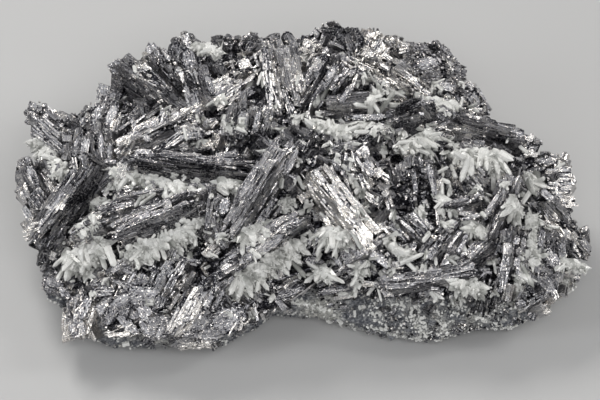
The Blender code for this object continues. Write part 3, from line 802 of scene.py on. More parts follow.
class Surface(Seats):
    """What is seen of some pieces of the scene."""

    def __init__(self, names: tuple) -> None:
        """Makes a tree of each piece of a name."""
        depsgraph = bpy.context.evaluated_depsgraph_get()
        super().__init__([BVHTree.FromObject(bpy.data.objects[n], depsgraph) for n in names], MM)


class Skin(Seats):
    """The surface of solids of the frame."""

    def __init__(self, *nodes: str) -> None:
        """Joins the triangles of some nodes of the frame.

        Args:
            nodes: the names of the nodes.
        """
        points, corners, count = [], [], 0
        for node in nodes:
            mesh = frame["nodes"][node].data
            mesh.calc_loop_triangles()
            points.append(vectors(mesh.vertices, "co") / MM)
            corners.append(vectors(mesh.loop_triangles, "vertices", np.int32) + count)
            count += len(mesh.vertices)
        self.points = np.concatenate(points)
        self.corners = np.concatenate(corners)
        super().__init__([BVHTree.FromPolygons(self.points.tolist(), self.corners.tolist())])
        a, b, c = (self.points[self.corners[:, i]] for i in range(3))
        cross = np.cross(b - a, c - a)
        self.area = np.linalg.norm(cross, axis=1)
        self.normals = cross / np.maximum(self.area, 1e-9)[:, None]

    def scatter(self, count: int, rng: Rng) -> tuple:
        """Random places spread evenly over the surface.

        Args:
            count: how many places.
            rng: the source of the places.

        Returns:
            The places and the surface's normals there, one row each.
        """
        chosen = rng.choice(len(self.area), count, p=self.area / self.area.sum())
        a, b, c = (self.points[self.corners[chosen, i]] for i in range(3))
        first, second = rng.random((2, count, 1))
        flip = first + second > 1
        first, second = np.where(flip, 1 - first, first), np.where(flip, 1 - second, second)
        return a + (b - a) * first + (c - a) * second, self.normals[chosen]

    def is_free(self, base: Array, direction: Array, length: float) -> bool:
        """Whether a crystal from base runs clear of the surface."""
        return self.trees[0].ray_cast(Vector(base), Vector(direction), length)[0] is None


def lath_outline(length: float, breadth: float, steps: int, rng: Rng) -> Array:
    """The outline of one lamella: straight where it is rooted, stepped at its free edge.

    Args:
        length: its length.
        breadth: its breadth.
        steps: how many steps the free edge has.
        rng: the source of the steps.

    Returns:
        Points along and out, one row each.
    """
    ends = np.array((-0.5, *np.sort(rng.uniform(-0.46, 0.46, steps - 1)), 0.5))
    middle = (ends[1:] + ends[:-1]) / 2
    taper = rng.uniform(0.5, 1.3)
    heights = 0.5 - 0.5 * taper * np.abs(middle) ** 2.2 - rng.uniform(0, 0.1, steps)
    slant = rng.uniform(-0.03, 0.05, (2, steps))
    left = np.stack((ends[:-1], heights - slant[0]), axis=1)
    right = np.stack((ends[1:], heights - slant[1]), axis=1)
    crest = np.stack((left, right), axis=1).reshape(-1, 2)[::-1]
    root = np.array(((-0.42, -0.5), (0.42, -0.5)))
    return np.concatenate((root, crest)) * (length, breadth)


def lozenge(length: float, breadth: float, rng: Rng) -> Array:
    """The outline of a straight lath with slanting ends.

    Args:
        length: its length.
        breadth: its breadth.
        rng: the source of its slants.

    Returns:
        Points along and across, one row each.
    """
    cut, other = rng.uniform(0.32, 0.48, 2)
    left, right = rng.uniform(-0.5, 0.5, 2)
    points = ((-0.5, left), (-cut, -0.5), (other, -0.5), (0.5, right), (other, 0.5), (-cut, 0.5))
    return np.array(points) * (length, breadth)


def disc_outline(length: float, breadth: float, sides: int, rng: Rng) -> Array:
    """The outline of a round, angular plate.

    Args:
        length: its length.
        breadth: its breadth.
        sides: how many sides it has.
        rng: the source of its corners.

    Returns:
        Points along and across, one row each.
    """
    angle = (np.arange(sides) + rng.uniform(-0.3, 0.3, sides)) * math.tau / sides
    reach = rng.uniform(0.86, 1.0, sides) / 2
    run = np.sign(np.cos(angle)) * np.abs(np.cos(angle)) ** 0.8
    rise = np.sign(np.sin(angle)) * np.abs(np.sin(angle)) ** 0.8
    return np.stack((run * reach * length, rise * reach * breadth), axis=1)


def block_outline(length: float, breadth: float) -> Array:
    """The outline of a rectangle."""
    return np.array(((-0.5, -0.5), (0.5, -0.5), (0.5, 0.5), (-0.5, 0.5))) * (length, breadth)


def plate(outline: Array, thick: float, rng: Rng) -> Array:
    """A flat plate: its back face and its front, each a little smaller than its outline.

    Args:
        outline: points along and across, one row each.
        thick: how thick it is.
        rng: the source of how much smaller its faces are.

    Returns:
        Its points, one row each.
    """
    middle = outline.mean(axis=0)
    rings = []
    for height in (-0.5, 0.5):
        shrink = rng.uniform(0.93, 1.0)
        ring = middle + (outline - middle) * shrink
        rings.append(np.column_stack((ring, np.full(len(ring), height * thick))))
    return np.concatenate(rings)


@dataclass(frozen=True)
class Twin:
    """One galena twin: a stack of stepped lamellae, or a terraced disc where it leans far."""

    blade: Blade
    centre: Array
    axes: Array
    length: float
    shards: Shards
    rng: Rng
    lamella: float = 1.25
    part_length: tuple = (8, 26)
    steps: int = 3
    fall: tuple = (0.25, 0.5)  # how far a stack steps down over its face
    low_fall: tuple = (-0.1, 0.15)
    drift: float = 0.16
    shine_spread: float = 0.22
    dull_spread: float = 0.09
    shadowed: float = 0.46  # how much painted shade dulls every other bright lamella
    scale_room: float = 24  # how much of a stack each flat lath has to itself
    scales_on_crest: float = 0.45
    scale_breadths: tuple = (1.4, 5.0)
    scale_thicknesses: tuple = (0.5, 1.1)
    bead_room: float = 9  # how much of a stack each small grain has
    bright_bead_room: float = 20
    bead_sizes: tuple = (0.35, 1.1)
    disc_sides: int = 20
    terraces: int = 14
    terrace_rise: float = 0.12
    terrace_sides: int = 6
    bars: int = 3  # bars on the face of a disc
    bright_bars: int = 12
    bar_thick: float = 0.8
    rim_grains: float = 6  # grains for each unit of a disc's length
    rim_sizes: tuple = (0.5, 1.6)
    glint: float = 0.8  # how far the bars turn to face the front

    @property
    def is_disc(self) -> bool:
        """Whether it is a terraced disc and not a stack."""
        return self.blade.lean > DISC_LEAN

    @cached_property
    def half(self) -> Array:
        """Its half sizes along, out and across, with room to spare round a disc."""
        half = np.array((self.length, self.blade.breadth, self.blade.thick)) / 2
        return half + DISC_SPARE if self.is_disc else half

    def at(self, *spot: float) -> Array:
        """The place in the world of a spot along, out and across."""
        return self.centre + np.array(spot) @ self.axes

    def tone(self, spread: float) -> float:
        """The tone of one of its lamellae: its blade's painted sheen, varied at random."""
        return float(np.clip(self.blade.sheen.value + self.rng.normal(0, spread), 0, 1))

    def spots(self) -> Array:
        """Places along it, one row each."""
        shares = np.linspace(-0.9, 0.9, TWIN_SPOTS)[:, None]
        return self.centre + self.axes[0] * shares * self.half[0]

    def covers(self, places: Array) -> Array:
        """Which places of the surface are on its own upper part.

        Args:
            places: the places, one row each.

        Returns:
            True or False for each.
        """
        along, out, across = self.axes @ (places - self.centre).T
        inside = (abs(along) < 0.86 * self.half[0]) & (abs(out) < self.half[1] + 2)
        return inside & (abs(across) < self.half[2] + 1.6) & (out > -0.3 * self.half[1])

    def build(self) -> None:
        """Builds it."""
        for make in (self.disc,) if self.is_disc else (self.stack, self.scales, self.beads):
            make()

    def stack(self) -> None:
        """Lamellae side by side, stepped down over the face."""
        blade, rng, shiny = self.blade, self.rng, self.blade.sheen.shines
        count = max(3, round(blade.thick / self.lamella))
        fall = rng.uniform(*(self.fall if shiny or rng.random() < 0.4 else self.low_fall))
        drift = rng.uniform(-self.drift, self.drift)
        for i in range(count):
            share = (i + 0.5) / count - 0.5
            run = self.length * (1 - 0.66 * abs(share)) * rng.uniform(0.88, 1.0)
            rise = blade.breadth * (1 - abs(fall) * (0.5 + math.copysign(share, fall)))
            rise *= rng.uniform(0.96, 1.0) * (1 - 0.4 * share**2)
            slack = self.length * 0.98 - run
            slide = drift * share * self.length + rng.uniform(-0.5, 0.5) * slack
            self.lamella_parts((run, rise, slide, share), shiny and i % 2, count)

    def lamella_parts(self, sizes: tuple, shadowed: bool, count: int) -> None:
        """One lamella of a stack, broken into parts along its length.

        Args:
            sizes: the lamella's length and breadth, how far it has slid along, and where it
                is across the stack, as a share.
            shadowed: whether it is one of those dulled by painted shade.
            count: how many lamellae the stack has.
        """
        run, rise, slide, share = sizes
        blade, rng = self.blade, self.rng
        spread = self.shine_spread if blade.sheen.shines else self.dull_spread
        parts = max(1, round(run / rng.uniform(*self.part_length)))
        ends = (-0.5, *np.sort(rng.uniform(-0.42, 0.42, parts - 1)), 0.5)
        thick = blade.thick / count * rng.uniform(0.86, 1.12)
        for start, end in zip(ends, ends[1:]):
            middle = (start + end) / 2
            lower = (0.42 * abs(2 * middle) ** 2.4 + rng.uniform(0, 0.08)) * rise
            spot = (slide + middle * run, (rise - blade.breadth - lower) / 2,
                    share * blade.thick + rng.normal(0, 0.15))
            outline = lath_outline((end - start) * run, rise - lower, self.steps, rng)
            local = plate(outline, thick, rng)
            tone = self.tone(spread) - self.shadowed * shadowed
            self.shards.lay(local, self.at(*spot), turned(self.axes, 1.3, rng), tone)

    def scales(self) -> None:
        """Flat laths along the crest and the face of a stack."""
        blade, rng = self.blade, self.rng
        for _ in range(int(self.length * (blade.breadth + blade.thick) / self.scale_room)):
            run = rng.uniform(0.08, 0.42) * self.length
            along = rng.uniform(-0.5, 0.5) * (self.length - run)
            limit = 1 - 0.55 * (2 * along / self.length) ** 2
            if rng.random() < self.scales_on_crest:
                across = rng.uniform(-0.42, 0.42) * blade.thick
                spot = (along, 0.49 * blade.breadth * limit, across)
                tip = math.pi / 2 + rng.normal(0, 0.3)
            else:
                spot = (along, rng.uniform(-0.2, 0.46) * blade.breadth * limit, blade.thick * 0.5)
                tip = rng.normal(0, 0.14)
            axes = rolled(turned(self.axes, 3.0, rng), tip)
            outline = lozenge(run, rng.uniform(*self.scale_breadths), rng)
            local = plate(outline, rng.uniform(*self.scale_thicknesses), rng)
            self.shards.lay(local, self.at(*spot), axes, self.tone(0.16))

    def beads(self) -> None:
        """Small grains over the free edge and the face of a stack, fewer on a bright one."""
        blade, rng = self.blade, self.rng
        room = self.bright_bead_room if blade.sheen is BRIGHT else self.bead_room
        for _ in range(int(self.length * blade.breadth / room)):
            along = rng.uniform(-0.46, 0.46) * self.length
            crest = 0.5 - 0.9 * (along / self.length) ** 2
            out = rng.uniform(-0.1, crest) * blade.breadth
            across = blade.thick * rng.uniform(0.42, 0.52)
            if rng.random() < 0.4:
                out, across = (crest - 0.04) * blade.breadth, across * rng.uniform(-1, 1)
            size = rng.uniform(*self.bead_sizes)
            tone = self.tone(0.4) + 0.1
            self.block(self.at(along, out, across), turned(self.axes, 16, rng), size, tone)

    def block(self, origin: Array, axes: Array, size: float, tone: float) -> None:
        """One small block, longer than it is wide.

        Args:
            origin: its middle.
            axes: its axes, one in each row.
            size: its breadth.
            tone: how bright it is.
        """
        outline = block_outline(size * self.rng.uniform(1.0, 1.9), size)
        local = plate(outline, size * self.rng.uniform(0.5, 1.0), self.rng)
        self.shards.lay(local, origin, axes, tone)

    def disc(self) -> None:
        """A round plate with stepped terraces on its face and small grains round its rim."""
        axes, thick, rng = self.axes, self.blade.thick, self.rng
        face = thick / 2
        size = np.array((self.length, self.blade.breadth))
        for share in (-0.3, 0.0, 0.3):
            outline = disc_outline(*(size * rng.uniform(0.95, 1.02)), self.disc_sides, rng)
            local, tone = plate(outline, thick * 0.36, rng), rng.uniform(0.26, 0.4)
            origin = self.centre + axes[2] * share * thick
            self.shards.lay(local, origin, turned(axes, 0.8, rng), tone)
        for i in range(self.terraces):
            share = rng.uniform(0.2, 0.75) * (1 - i / 22)
            spot = rng.uniform(-0.46, 0.46, 2) * (1 - share) * size
            outline = disc_outline(*(size * share), self.terrace_sides, rng)
            local, tone = plate(outline, rng.uniform(0.5, 1.0), rng), rng.uniform(0.2, 0.55)
            origin = self.at(*spot, face + i * self.terrace_rise)
            self.shards.lay(local, origin, turned(axes, 2.6, rng), tone)
        front = facing(axes[0], unit(axes[2] + self.glint * Plan.out))
        for _ in range(self.bright_bars if self.blade.sheen is BRIGHT else self.bars):
            spot = (rng.uniform(-0.3, 0.3), rng.normal(0.28, 0.12)) * size
            origin = self.at(*spot, face + rng.uniform(1.2, 2.0))
            bar = turned(front, 6, rng)
            outline = lozenge(rng.uniform(0.12, 0.42) * self.length, rng.uniform(0.8, 1.8), rng)
            # painted highlight: a bar takes the blade's painted sheen, mostly a little brighter
            tone = self.blade.sheen.value + rng.uniform(-0.1, 0.2)
            self.shards.lay(plate(outline, self.bar_thick, rng), origin, bar, tone)
        for _ in range(int(self.length * self.rim_grains)):
            spot = on_circle(rng.uniform(0, math.tau)) * size * 0.47
            spot *= rng.uniform(0.84, 1.03)
            origin = self.at(*spot, rng.uniform(-face, face + 0.5))
            tone = self.tone(0.35) + 0.1
            self.block(origin, turned(axes, 25, rng), rng.uniform(*self.rim_sizes), tone)


@dataclass
class TwinGroup(Growth):
    """A named group of galena twins."""

    title: str
    blades: tuple
    form: Form
    seed: int
    twins: list = field(default_factory=list)

    def places(self) -> Iterator[tuple]:
        """Each blade with its centre, its axes and its length, as it follows the mass."""
        for blade in self.blades:
            place, normal = self.form.site(blade.u, blade.v)
            axes, stretch = blade_axes(blade, normal)
            yield blade, place + axes[1] * blade.lift, axes, blade.length * stretch

    def build(self) -> None:
        """Builds every twin, and keeps it for the laths that fill in round it."""
        for place in self.places():
            self.twins.append(Twin(*place, self.shards, self.rng))
            self.twins[-1].build()


@dataclass
class FlankGroup(TwinGroup):
    """The twins of the back and the ends."""

    share: float = 0.93
    rise: float = 2
    upturn: float = 0.3

    def places(self) -> Iterator[tuple]:
        """Each blade with its centre, its axes and its length, round the edge."""
        middle = self.form.on_edge(*self.form.centre)[:2]
        edges = [self.form.on_edge(u, v) for u, v in self.form.rim]
        for blade in self.blades:
            outward = np.append(on_circle(math.radians(blade.bearing)), 0)
            edge = max(edges, key=lambda p: unit(p[:2] - middle) @ outward[:2])
            seat = self.form.seat(edge)
            height = seat + (edge[2] - seat) * blade.level + self.rise
            place = self.form.drawn_in(edge, self.share, height)
            level, upward = on_circle(math.radians(blade.heading))
            along = level * np.array((-outward[1], outward[0], 0)) + upward * UP
            axes = lengthwise(along, square_to(outward + UP * self.upturn, along))
            stand_in = Blade(0, 0, 0, blade.length, blade.breadth, blade.thick)
            yield stand_in, place, axes, blade.length


@dataclass(frozen=True)
class Zone:
    """A round part of the plan where the galena is massive and grainy."""

    u: float
    v: float
    radius: float

    def holds(self, places: Array) -> Array:
        """Which places of the plan are inside."""
        return np.hypot(places[:, 0] - self.u, places[:, 1] - self.v) < self.radius


ZONES = rows(
    Zone,
    (70, 68, 17), (84, 56, 12), (94, 48, 9), (106, 40, 9), (118, 30, 8), (-127, -45, 10),
    (-137, -18, 7), (138, -18, 8), (0, 78, 8), (64, 56, 8),
)


@dataclass(frozen=True)
class Seat:
    """A place on the galena, the axes of the nearest twin, and the tone to take, which carries
    part of that twin's painted sheen.
    """

    place: Array
    normal: Array
    axes: Array
    tone: float


@dataclass
class LathFill(Seeded):
    """The small laths, cubes and grains that fill in between the twins and follow them."""

    skin: Skin
    twins: list
    laths: int = 3000
    cubes: int = 4200
    crumbs: int = 12000
    seed: int = 77
    side_from: float = 50  # the left and the right begin this far from u 0
    following: float = 0.72  # how many lie along the nearest twin
    lengths: tuple = (5, 24)
    breadths: tuple = (4.5, 10.5)
    thicknesses: tuple = (0.8, 2.2)
    lamellae: tuple = (1, 4)
    cube_sizes: tuple = (1.0, 3.2)
    cube_sides: tuple = (4, 4, 5, 6)
    crumb_sizes: tuple = (0.7, 1.9)
    crumb_sides: int = 5
    pieces: dict = field(default_factory=dict)

    def region(self, place: Array) -> Shards:
        """What is gathered at the left, the centre or the right, where a place is."""
        side = np.digitize(Plan.places(place[None])[0, 0], (-self.side_from, self.side_from))
        return self.pieces.setdefault(("fill_left", "fill_centre", "fill_right")[side], Shards())

    def build(self) -> None:
        """Sets laths, cubes and grains all over the galena's surface."""
        spots = np.concatenate([twin.spots() for twin in self.twins])
        kinds = (
            (self.laths, self.lath, 0.93, 0.9), (self.cubes, self.cube, 0.75, 0.3),
            (self.crumbs, self.crumb, 0.6, 0.0),
        )
        for count, make, spared, massive in kinds:
            places, normals = self.skin.scatter(count, self.rng)
            grainy = np.any([zone.holds(Plan.places(places)) for zone in ZONES], axis=0)
            taken = np.any([twin.covers(places) for twin in self.twins], axis=0)
            chance = np.where(grainy, 1 - massive, float(make != self.crumb))
            chance *= np.where(taken, 1 - spared, 1.0)
            for i in np.flatnonzero(self.rng.random(count) < chance):
                near = np.argmin(((spots - places[i]) ** 2).sum(axis=1))
                twin = self.twins[near // TWIN_SPOTS]
                # part painted sheen: a fill crystal takes some of the nearest twin's painted
                # brightness
                tone = 0.6 * twin.blade.sheen.value + 0.2 + self.rng.normal(0, 0.2)
                tone = float(np.clip(tone, 0, 1))
                make(Seat(places[i], normals[i], twin.axes, tone))

    def axes_at(self, seat: Seat, stray: float) -> Array:
        """Axes for a crystal on the surface, mostly along the nearest twin.

        Args:
            seat: where it stands.
            stray: how far it strays from that direction.

        Returns:
            Its axes, one in each row.
        """
        along = seat.axes[0] if self.rng.random() < self.following else self.rng.normal(0, 1, 3)
        along = along - seat.normal * (along @ seat.normal) * 0.75
        along = unit(along + self.rng.normal(0, stray, 3))
        lean = seat.normal + seat.axes[1] * 0.5 + self.rng.normal(0, 0.3, 3)
        return lengthwise(along, square_to(lean, along))

    def lath(self, seat: Seat) -> None:
        """One small twin of one to three lamellae.

        Args:
            seat: where it stands.
        """
        own = self.axes_at(seat, 0.22)
        length = min(self.lengths[0] + self.rng.gamma(2.0, 3.6), self.lengths[1])
        breadth = self.rng.uniform(*self.breadths)
        out = self.rng.uniform(-0.18, 0.22) * breadth
        shards = self.region(seat.place)
        for i in range(self.rng.integers(*self.lamellae)):
            thick = self.rng.uniform(*self.thicknesses)
            run = length * self.rng.uniform(0.6, 1.0)
            slide = self.rng.uniform(-0.5, 0.5) * (length - run)
            origin = seat.place + np.array((slide, out - 0.6 * i, 1.5 * i)) @ own
            outline = lath_outline(run, breadth * self.rng.uniform(0.75, 1), 3, self.rng)
            shade = float(np.clip(seat.tone + self.rng.normal(0, 0.12), 0, 1))
            shards.lay(plate(outline, thick, self.rng), origin, turned(own, 3, self.rng), shade)

    def cube(self, seat: Seat) -> None:
        """One small cube or flat tablet.

        Args:
            seat: where it stands.
        """
        own = self.axes_at(seat, 0.4)
        size = self.rng.uniform(*self.cube_sizes)
        sides = int(self.rng.choice(self.cube_sides))
        outline = disc_outline(size * self.rng.uniform(1.1, 1.9), size * 1.1, sides, self.rng)
        local = plate(outline, size * self.rng.uniform(0.35, 0.9), self.rng)
        self.region(seat.place).lay(local, seat.place, own, seat.tone)

    def crumb(self, seat: Seat) -> None:
        """One small angular grain of massive galena.

        Args:
            seat: where it stands.
        """
        own = turned(self.axes_at(seat, 0.8), 30, self.rng)
        size = self.rng.uniform(*self.crumb_sizes)
        outline = disc_outline(size * 1.3, size, self.crumb_sides, self.rng)
        local = plate(outline, size * self.rng.uniform(0.5, 1.0), self.rng)
        shade = float(np.clip(0.5 + self.rng.normal(0, 0.25), 0, 1))
        self.region(seat.place).lay(local, seat.place, own, shade)

    def dress(self, material: Material) -> None:
        """Makes a piece of each region."""
        for name, shards in self.pieces.items():
            shards.piece(name, material, "galena")


@dataclass(frozen=True)
class Nodule:
    """A rounded body of massive galena: its place on the plan, its radius and its rise."""

    u: float
    v: float
    radius: float
    rise: float = 0.0


NODULES = rows(
    Nodule,
    (63, 75, 8), (72, 74, 8.5), (66, 65, 9), (57, 68, 7), (78, 66, 8), (82, 58, 7), (56, 77, 6),
    (77, 73, 6), (-137, -17, 5), (-128, -46, 6),
)


@dataclass
class NoduleGroup(Growth):
    """Massive galena in rounded, grainy bodies."""

    title = "massive_galena"
    form: Form
    seed: int = 61
    sink: float = 0.35
    grain: float = 0.9
    grains: float = 5.0  # small grains for each unit of a radius squared
    grain_sizes: tuple = (0.5, 1.5)
    grain_sides: int = 5
    tone: float = 0.4

    def build(self) -> None:
        """Builds each body, half sunk in the mass."""
        rng = self.rng
        points, faces = ball(5)
        for nodule in NODULES:
            place, normal = self.form.site(nodule.u, nodule.v)
            axes = facing(square_to(Plan.right, normal), normal)
            lumps = [noise.noise(Vector(point * 2.2 + place * 0.1)) for point in points]
            reach = nodule.radius * (1 + 0.25 * np.array(lumps))
            reach = reach + rng.uniform(-0.5, 0.5, len(points)) * self.grain
            origin = place + normal * (nodule.rise - self.sink * nodule.radius)
            self.shards.add(points * reach[:, None], origin, axes, self.tone, faces)
            for i in rng.choice(len(points), int(nodule.radius**2 * self.grains)):
                size = rng.uniform(*self.grain_sizes)
                outline = disc_outline(size * 1.4, size, self.grain_sides, rng)
                local = plate(outline, size * 0.7, rng)
                spot = origin + points[i] * reach[i] @ axes
                tone = rng.normal(0.45, 0.25)
                self.shards.lay(local, spot, turned(axes, 60, rng), tone)


@dataclass
class Ground:
    """A solid of the frame gone over with grains: it stands in for its node."""

    title: str
    node: str
    slot: str
    tone: float
    seed: int
    grain: float = 0.8
    sunk: float = 0.1  # how far in every corner is moved
    depth: float = 0.8  # how much further in a corner may be moved
    lump: float = 0.16  # how closely its lumps follow each other
    stray: float = 0.28  # how far a corner strays, as a share of a grain
    foot: float = 0.6  # what is lower than this stays flat on the floor

    def grained(self) -> bpy.types.Mesh:
        """The solid in small even faces.

        Returns:
            A new mesh.
        """
        source = bpy.data.objects.new(self.title, frame["nodes"][self.node].data.copy())
        bpy.context.scene.collection.objects.link(source)
        remesh = source.modifiers.new("grains", "REMESH")
        remesh.mode = "VOXEL"
        remesh.voxel_size = self.grain * MM
        depsgraph = bpy.context.evaluated_depsgraph_get()
        mesh = bpy.data.meshes.new_from_object(source.evaluated_get(depsgraph))
        bpy.data.objects.remove(source)
        mesh.name = self.title
        return mesh

    def dress(self, material: Material) -> None:
        """Makes the piece that stands for the node, each corner moved in by its own amount.

        Args:
            material: its finish.
        """
        mesh = self.grained()
        points, normals = vectors(mesh.vertices, "co") / MM, vectors(mesh.vertices, "normal")
        count = len(points)
        rng = np.random.default_rng(self.seed)
        lumps = np.array([noise.noise(Vector(p * self.lump)) for p in points])
        depth = self.sunk + self.depth * (0.5 + 0.9 * lumps + rng.uniform(-0.5, 0.5, count))
        jitter = rng.uniform(-self.stray, self.stray, (count, 3)) * self.grain
        moved = points - normals * np.maximum(depth, 0)[:, None] + jitter
        on_floor = points[:, 2] < self.foot
        moved[on_floor] = points[on_floor]
        mesh.vertices.foreach_set("co", boxed(moved))
        mesh.update()
        tones = np.clip(self.tone + 0.5 * lumps + rng.normal(0, 0.2, count), -0.2, 1)
        piece = finish_piece(mesh, self.slot, material, tones, points)
        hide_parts(self.node)


def quartz_point(
    shards: Shards, base: Array, direction: Array, length: float, radius: float, rng: Rng
) -> None:
    """Adds one quartz crystal: a flattened six-sided prism that ends in a pyramid.

    Args:
        shards: what it is added to.
        base: its foot.
        direction: the direction of its tip.
        length: its length.
        radius: its radius.
        rng: the source of its shape.
    """
    axes = facing(square_to(rng.normal(0, 1, 3), direction), direction)
    flat = rng.uniform(0.6, 1.0)
    angle = np.arange(6) * math.tau / 6 + rng.uniform(-0.12, 0.12, 6)
    reach = radius * rng.uniform(0.88, 1.12, 6)
    ring = np.stack((np.cos(angle) * reach, np.sin(angle) * reach * flat), axis=1)
    tip = min(radius * rng.uniform(0.8, 2.0), length * 0.5)
    shoulder = length - tip * rng.uniform(0.85, 1.1, 6)
    foot = np.column_stack((ring, np.full(6, -0.12 * length)))
    top = np.column_stack((ring * rng.uniform(0.86, 1.0), shoulder))
    apex = np.array((*rng.uniform(-0.25, 0.25, 2) * radius, length))
    local = np.concatenate((foot, top, apex[None]))
    shards.add(local, base, axes, rng.normal(0.08, 0.4), point_faces(6))


@dataclass
class QuartzComb(Growth):
    """A comb of quartz over its solid: a crust, the teeth at its rim, and larger prisms."""

    slot = "quartz"
    comb: Comb
    seats: Skin
    metal: Skin
    seed: int
    climb: float = 1.5  # how far a crystal may stand above its line
    small: float = 45  # a comb with a smaller area has its own counts
    counts: tuple = (10, 16, 3)  # lumps, teeth and prisms beyond what its area has
    small_counts: tuple = (2, 10, 5)
    spacing: tuple = (1.1, 0.9, 12)  # the area for each of the others
    crust_sizes: tuple = (1.5, 2.9)
    tooth_lengths: tuple = (2.2, 4.8)
    tries: int = 5

    @property
    def title(self) -> str:
        """The name of its piece."""
        return self.comb.name + "_crystals"

    def build(self) -> None:
        """Builds the crust, then the teeth, then the prisms that lie over both."""
        comb = self.comb
        area = (math.hypot(comb.u2 - comb.u1, comb.v2 - comb.v1) + comb.bulk) * comb.bulk
        counts = self.small_counts if area < self.small else self.counts
        lumps, teeth, prisms = (int(n + area / room) for n, room in zip(counts, self.spacing))
        for _, place, out in self.places(lumps, 0.55, 0.35):
            self.crust(place + out * self.rng.uniform(0, 1.2), out)
        for share, place, out in self.places(teeth, 0.65, 0.7):
            heading = comb.heading + comb.fan * (share - 0.5) + self.rng.normal(0, 60)
            direction = self.leaning(heading, self.rng.uniform(5, 75))
            radius = comb.radius * self.rng.uniform(0.35, 0.7)
            length = self.rng.uniform(*self.tooth_lengths)
            self.crystal(place + out * 0.8, direction, length, radius)
        for share, place, out in self.places(prisms, 0.5, 0.1):
            heading = comb.heading + comb.fan * (share - 0.5) * 1.3 + self.rng.normal(0, 38)
            direction = self.leaning(heading, self.rng.uniform(8, 60))
            length = comb.length * self.rng.uniform(0.4, 0.9)
            radius = comb.radius * self.rng.uniform(0.8, 1.7)
            self.crystal(place + out * self.rng.uniform(0.4, 1.6), direction, length, radius)

    def leaning(self, heading: float, degrees: float) -> Array:
        """A heading on the plan, raised out of it."""
        level, rise = on_circle(math.radians(degrees))
        return unit(level * Plan.heading(heading) + rise * Plan.out)

    def places(self, count: int, spread: float, drop: float) -> list:
        """Places on the comb's band.

        Args:
            count: how many are tried.
            spread: how far they stray across the band, as a share of its half breadth.
            drop: how far they are set towards the band's free rim, as such a share.

        Returns:
            The share along the band, the place and the outward direction of each.
        """
        comb = self.comb
        start, end = np.array((comb.u1, comb.v1)), np.array((comb.u2, comb.v2))
        bank = unit(np.array((comb.v1 - comb.v2, comb.u2 - comb.u1)))
        rim = on_circle(math.radians(comb.heading)) * drop * comb.bulk
        found = []
        for i in range(count):
            share = (i + self.rng.random()) / count
            line = start * (1 - share) + end * share
            base = self.seats.site(*line)
            site = self.seats.site(*(line + rim + bank * self.rng.normal(0, spread) * comb.bulk))
            if base is None or site is None or (site[0] - base[0]) @ Plan.out > self.climb:
                continue
            found.append((share, site[0], unit(site[1] * 0.6 + Plan.out)))
        return found

    def crystal(self, base: Array, direction: Array, length: float, radius: float) -> None:
        """One crystal, raised until it stands free of the galena.

        Args:
            base: its foot.
            direction: the direction of its tip, before it is raised.
            length: its length.
            radius: its radius.
        """
        for _ in range(self.tries):
            if self.metal.is_free(base + direction * 0.3 * length, direction, 0.7 * length):
                quartz_point(self.shards, base, direction, length, radius, self.rng)
                return
            direction = unit(direction + Plan.out * 0.45)

    def crust(self, place: Array, out: Array) -> None:
        """A low lump of the crust.

        Args:
            place: its middle.
            out: the outward direction there.
        """
        points, faces = ball(1)
        size = self.rng.uniform(*self.crust_sizes)
        local = points * (size, size, size * 0.7)
        local = local * self.rng.uniform(0.7, 1.2, (len(points), 1))
        axes = facing(square_to(self.rng.normal(0, 1, 3), out), out)
        self.shards.add(local, place, axes, self.rng.normal(0.1, 0.1), faces)


def directions(degrees: float) -> tuple:
    """The directions along and across a heading, each as its u and v."""
    along = on_circle(math.radians(degrees))
    return along, np.array((-along[1], along[0]))


@dataclass(frozen=True)
class Leaf:
    """A plate that is seen face on: rounded and plain, or ruled with bright bars. Its tone is
    painted light and shade: how bright it looks as it catches the light.
    """

    u: float
    v: float
    heading: float
    length: float
    breadth: float
    # painted light and shade: how bright the plate is painted
    tone: float
    bars: int = 0


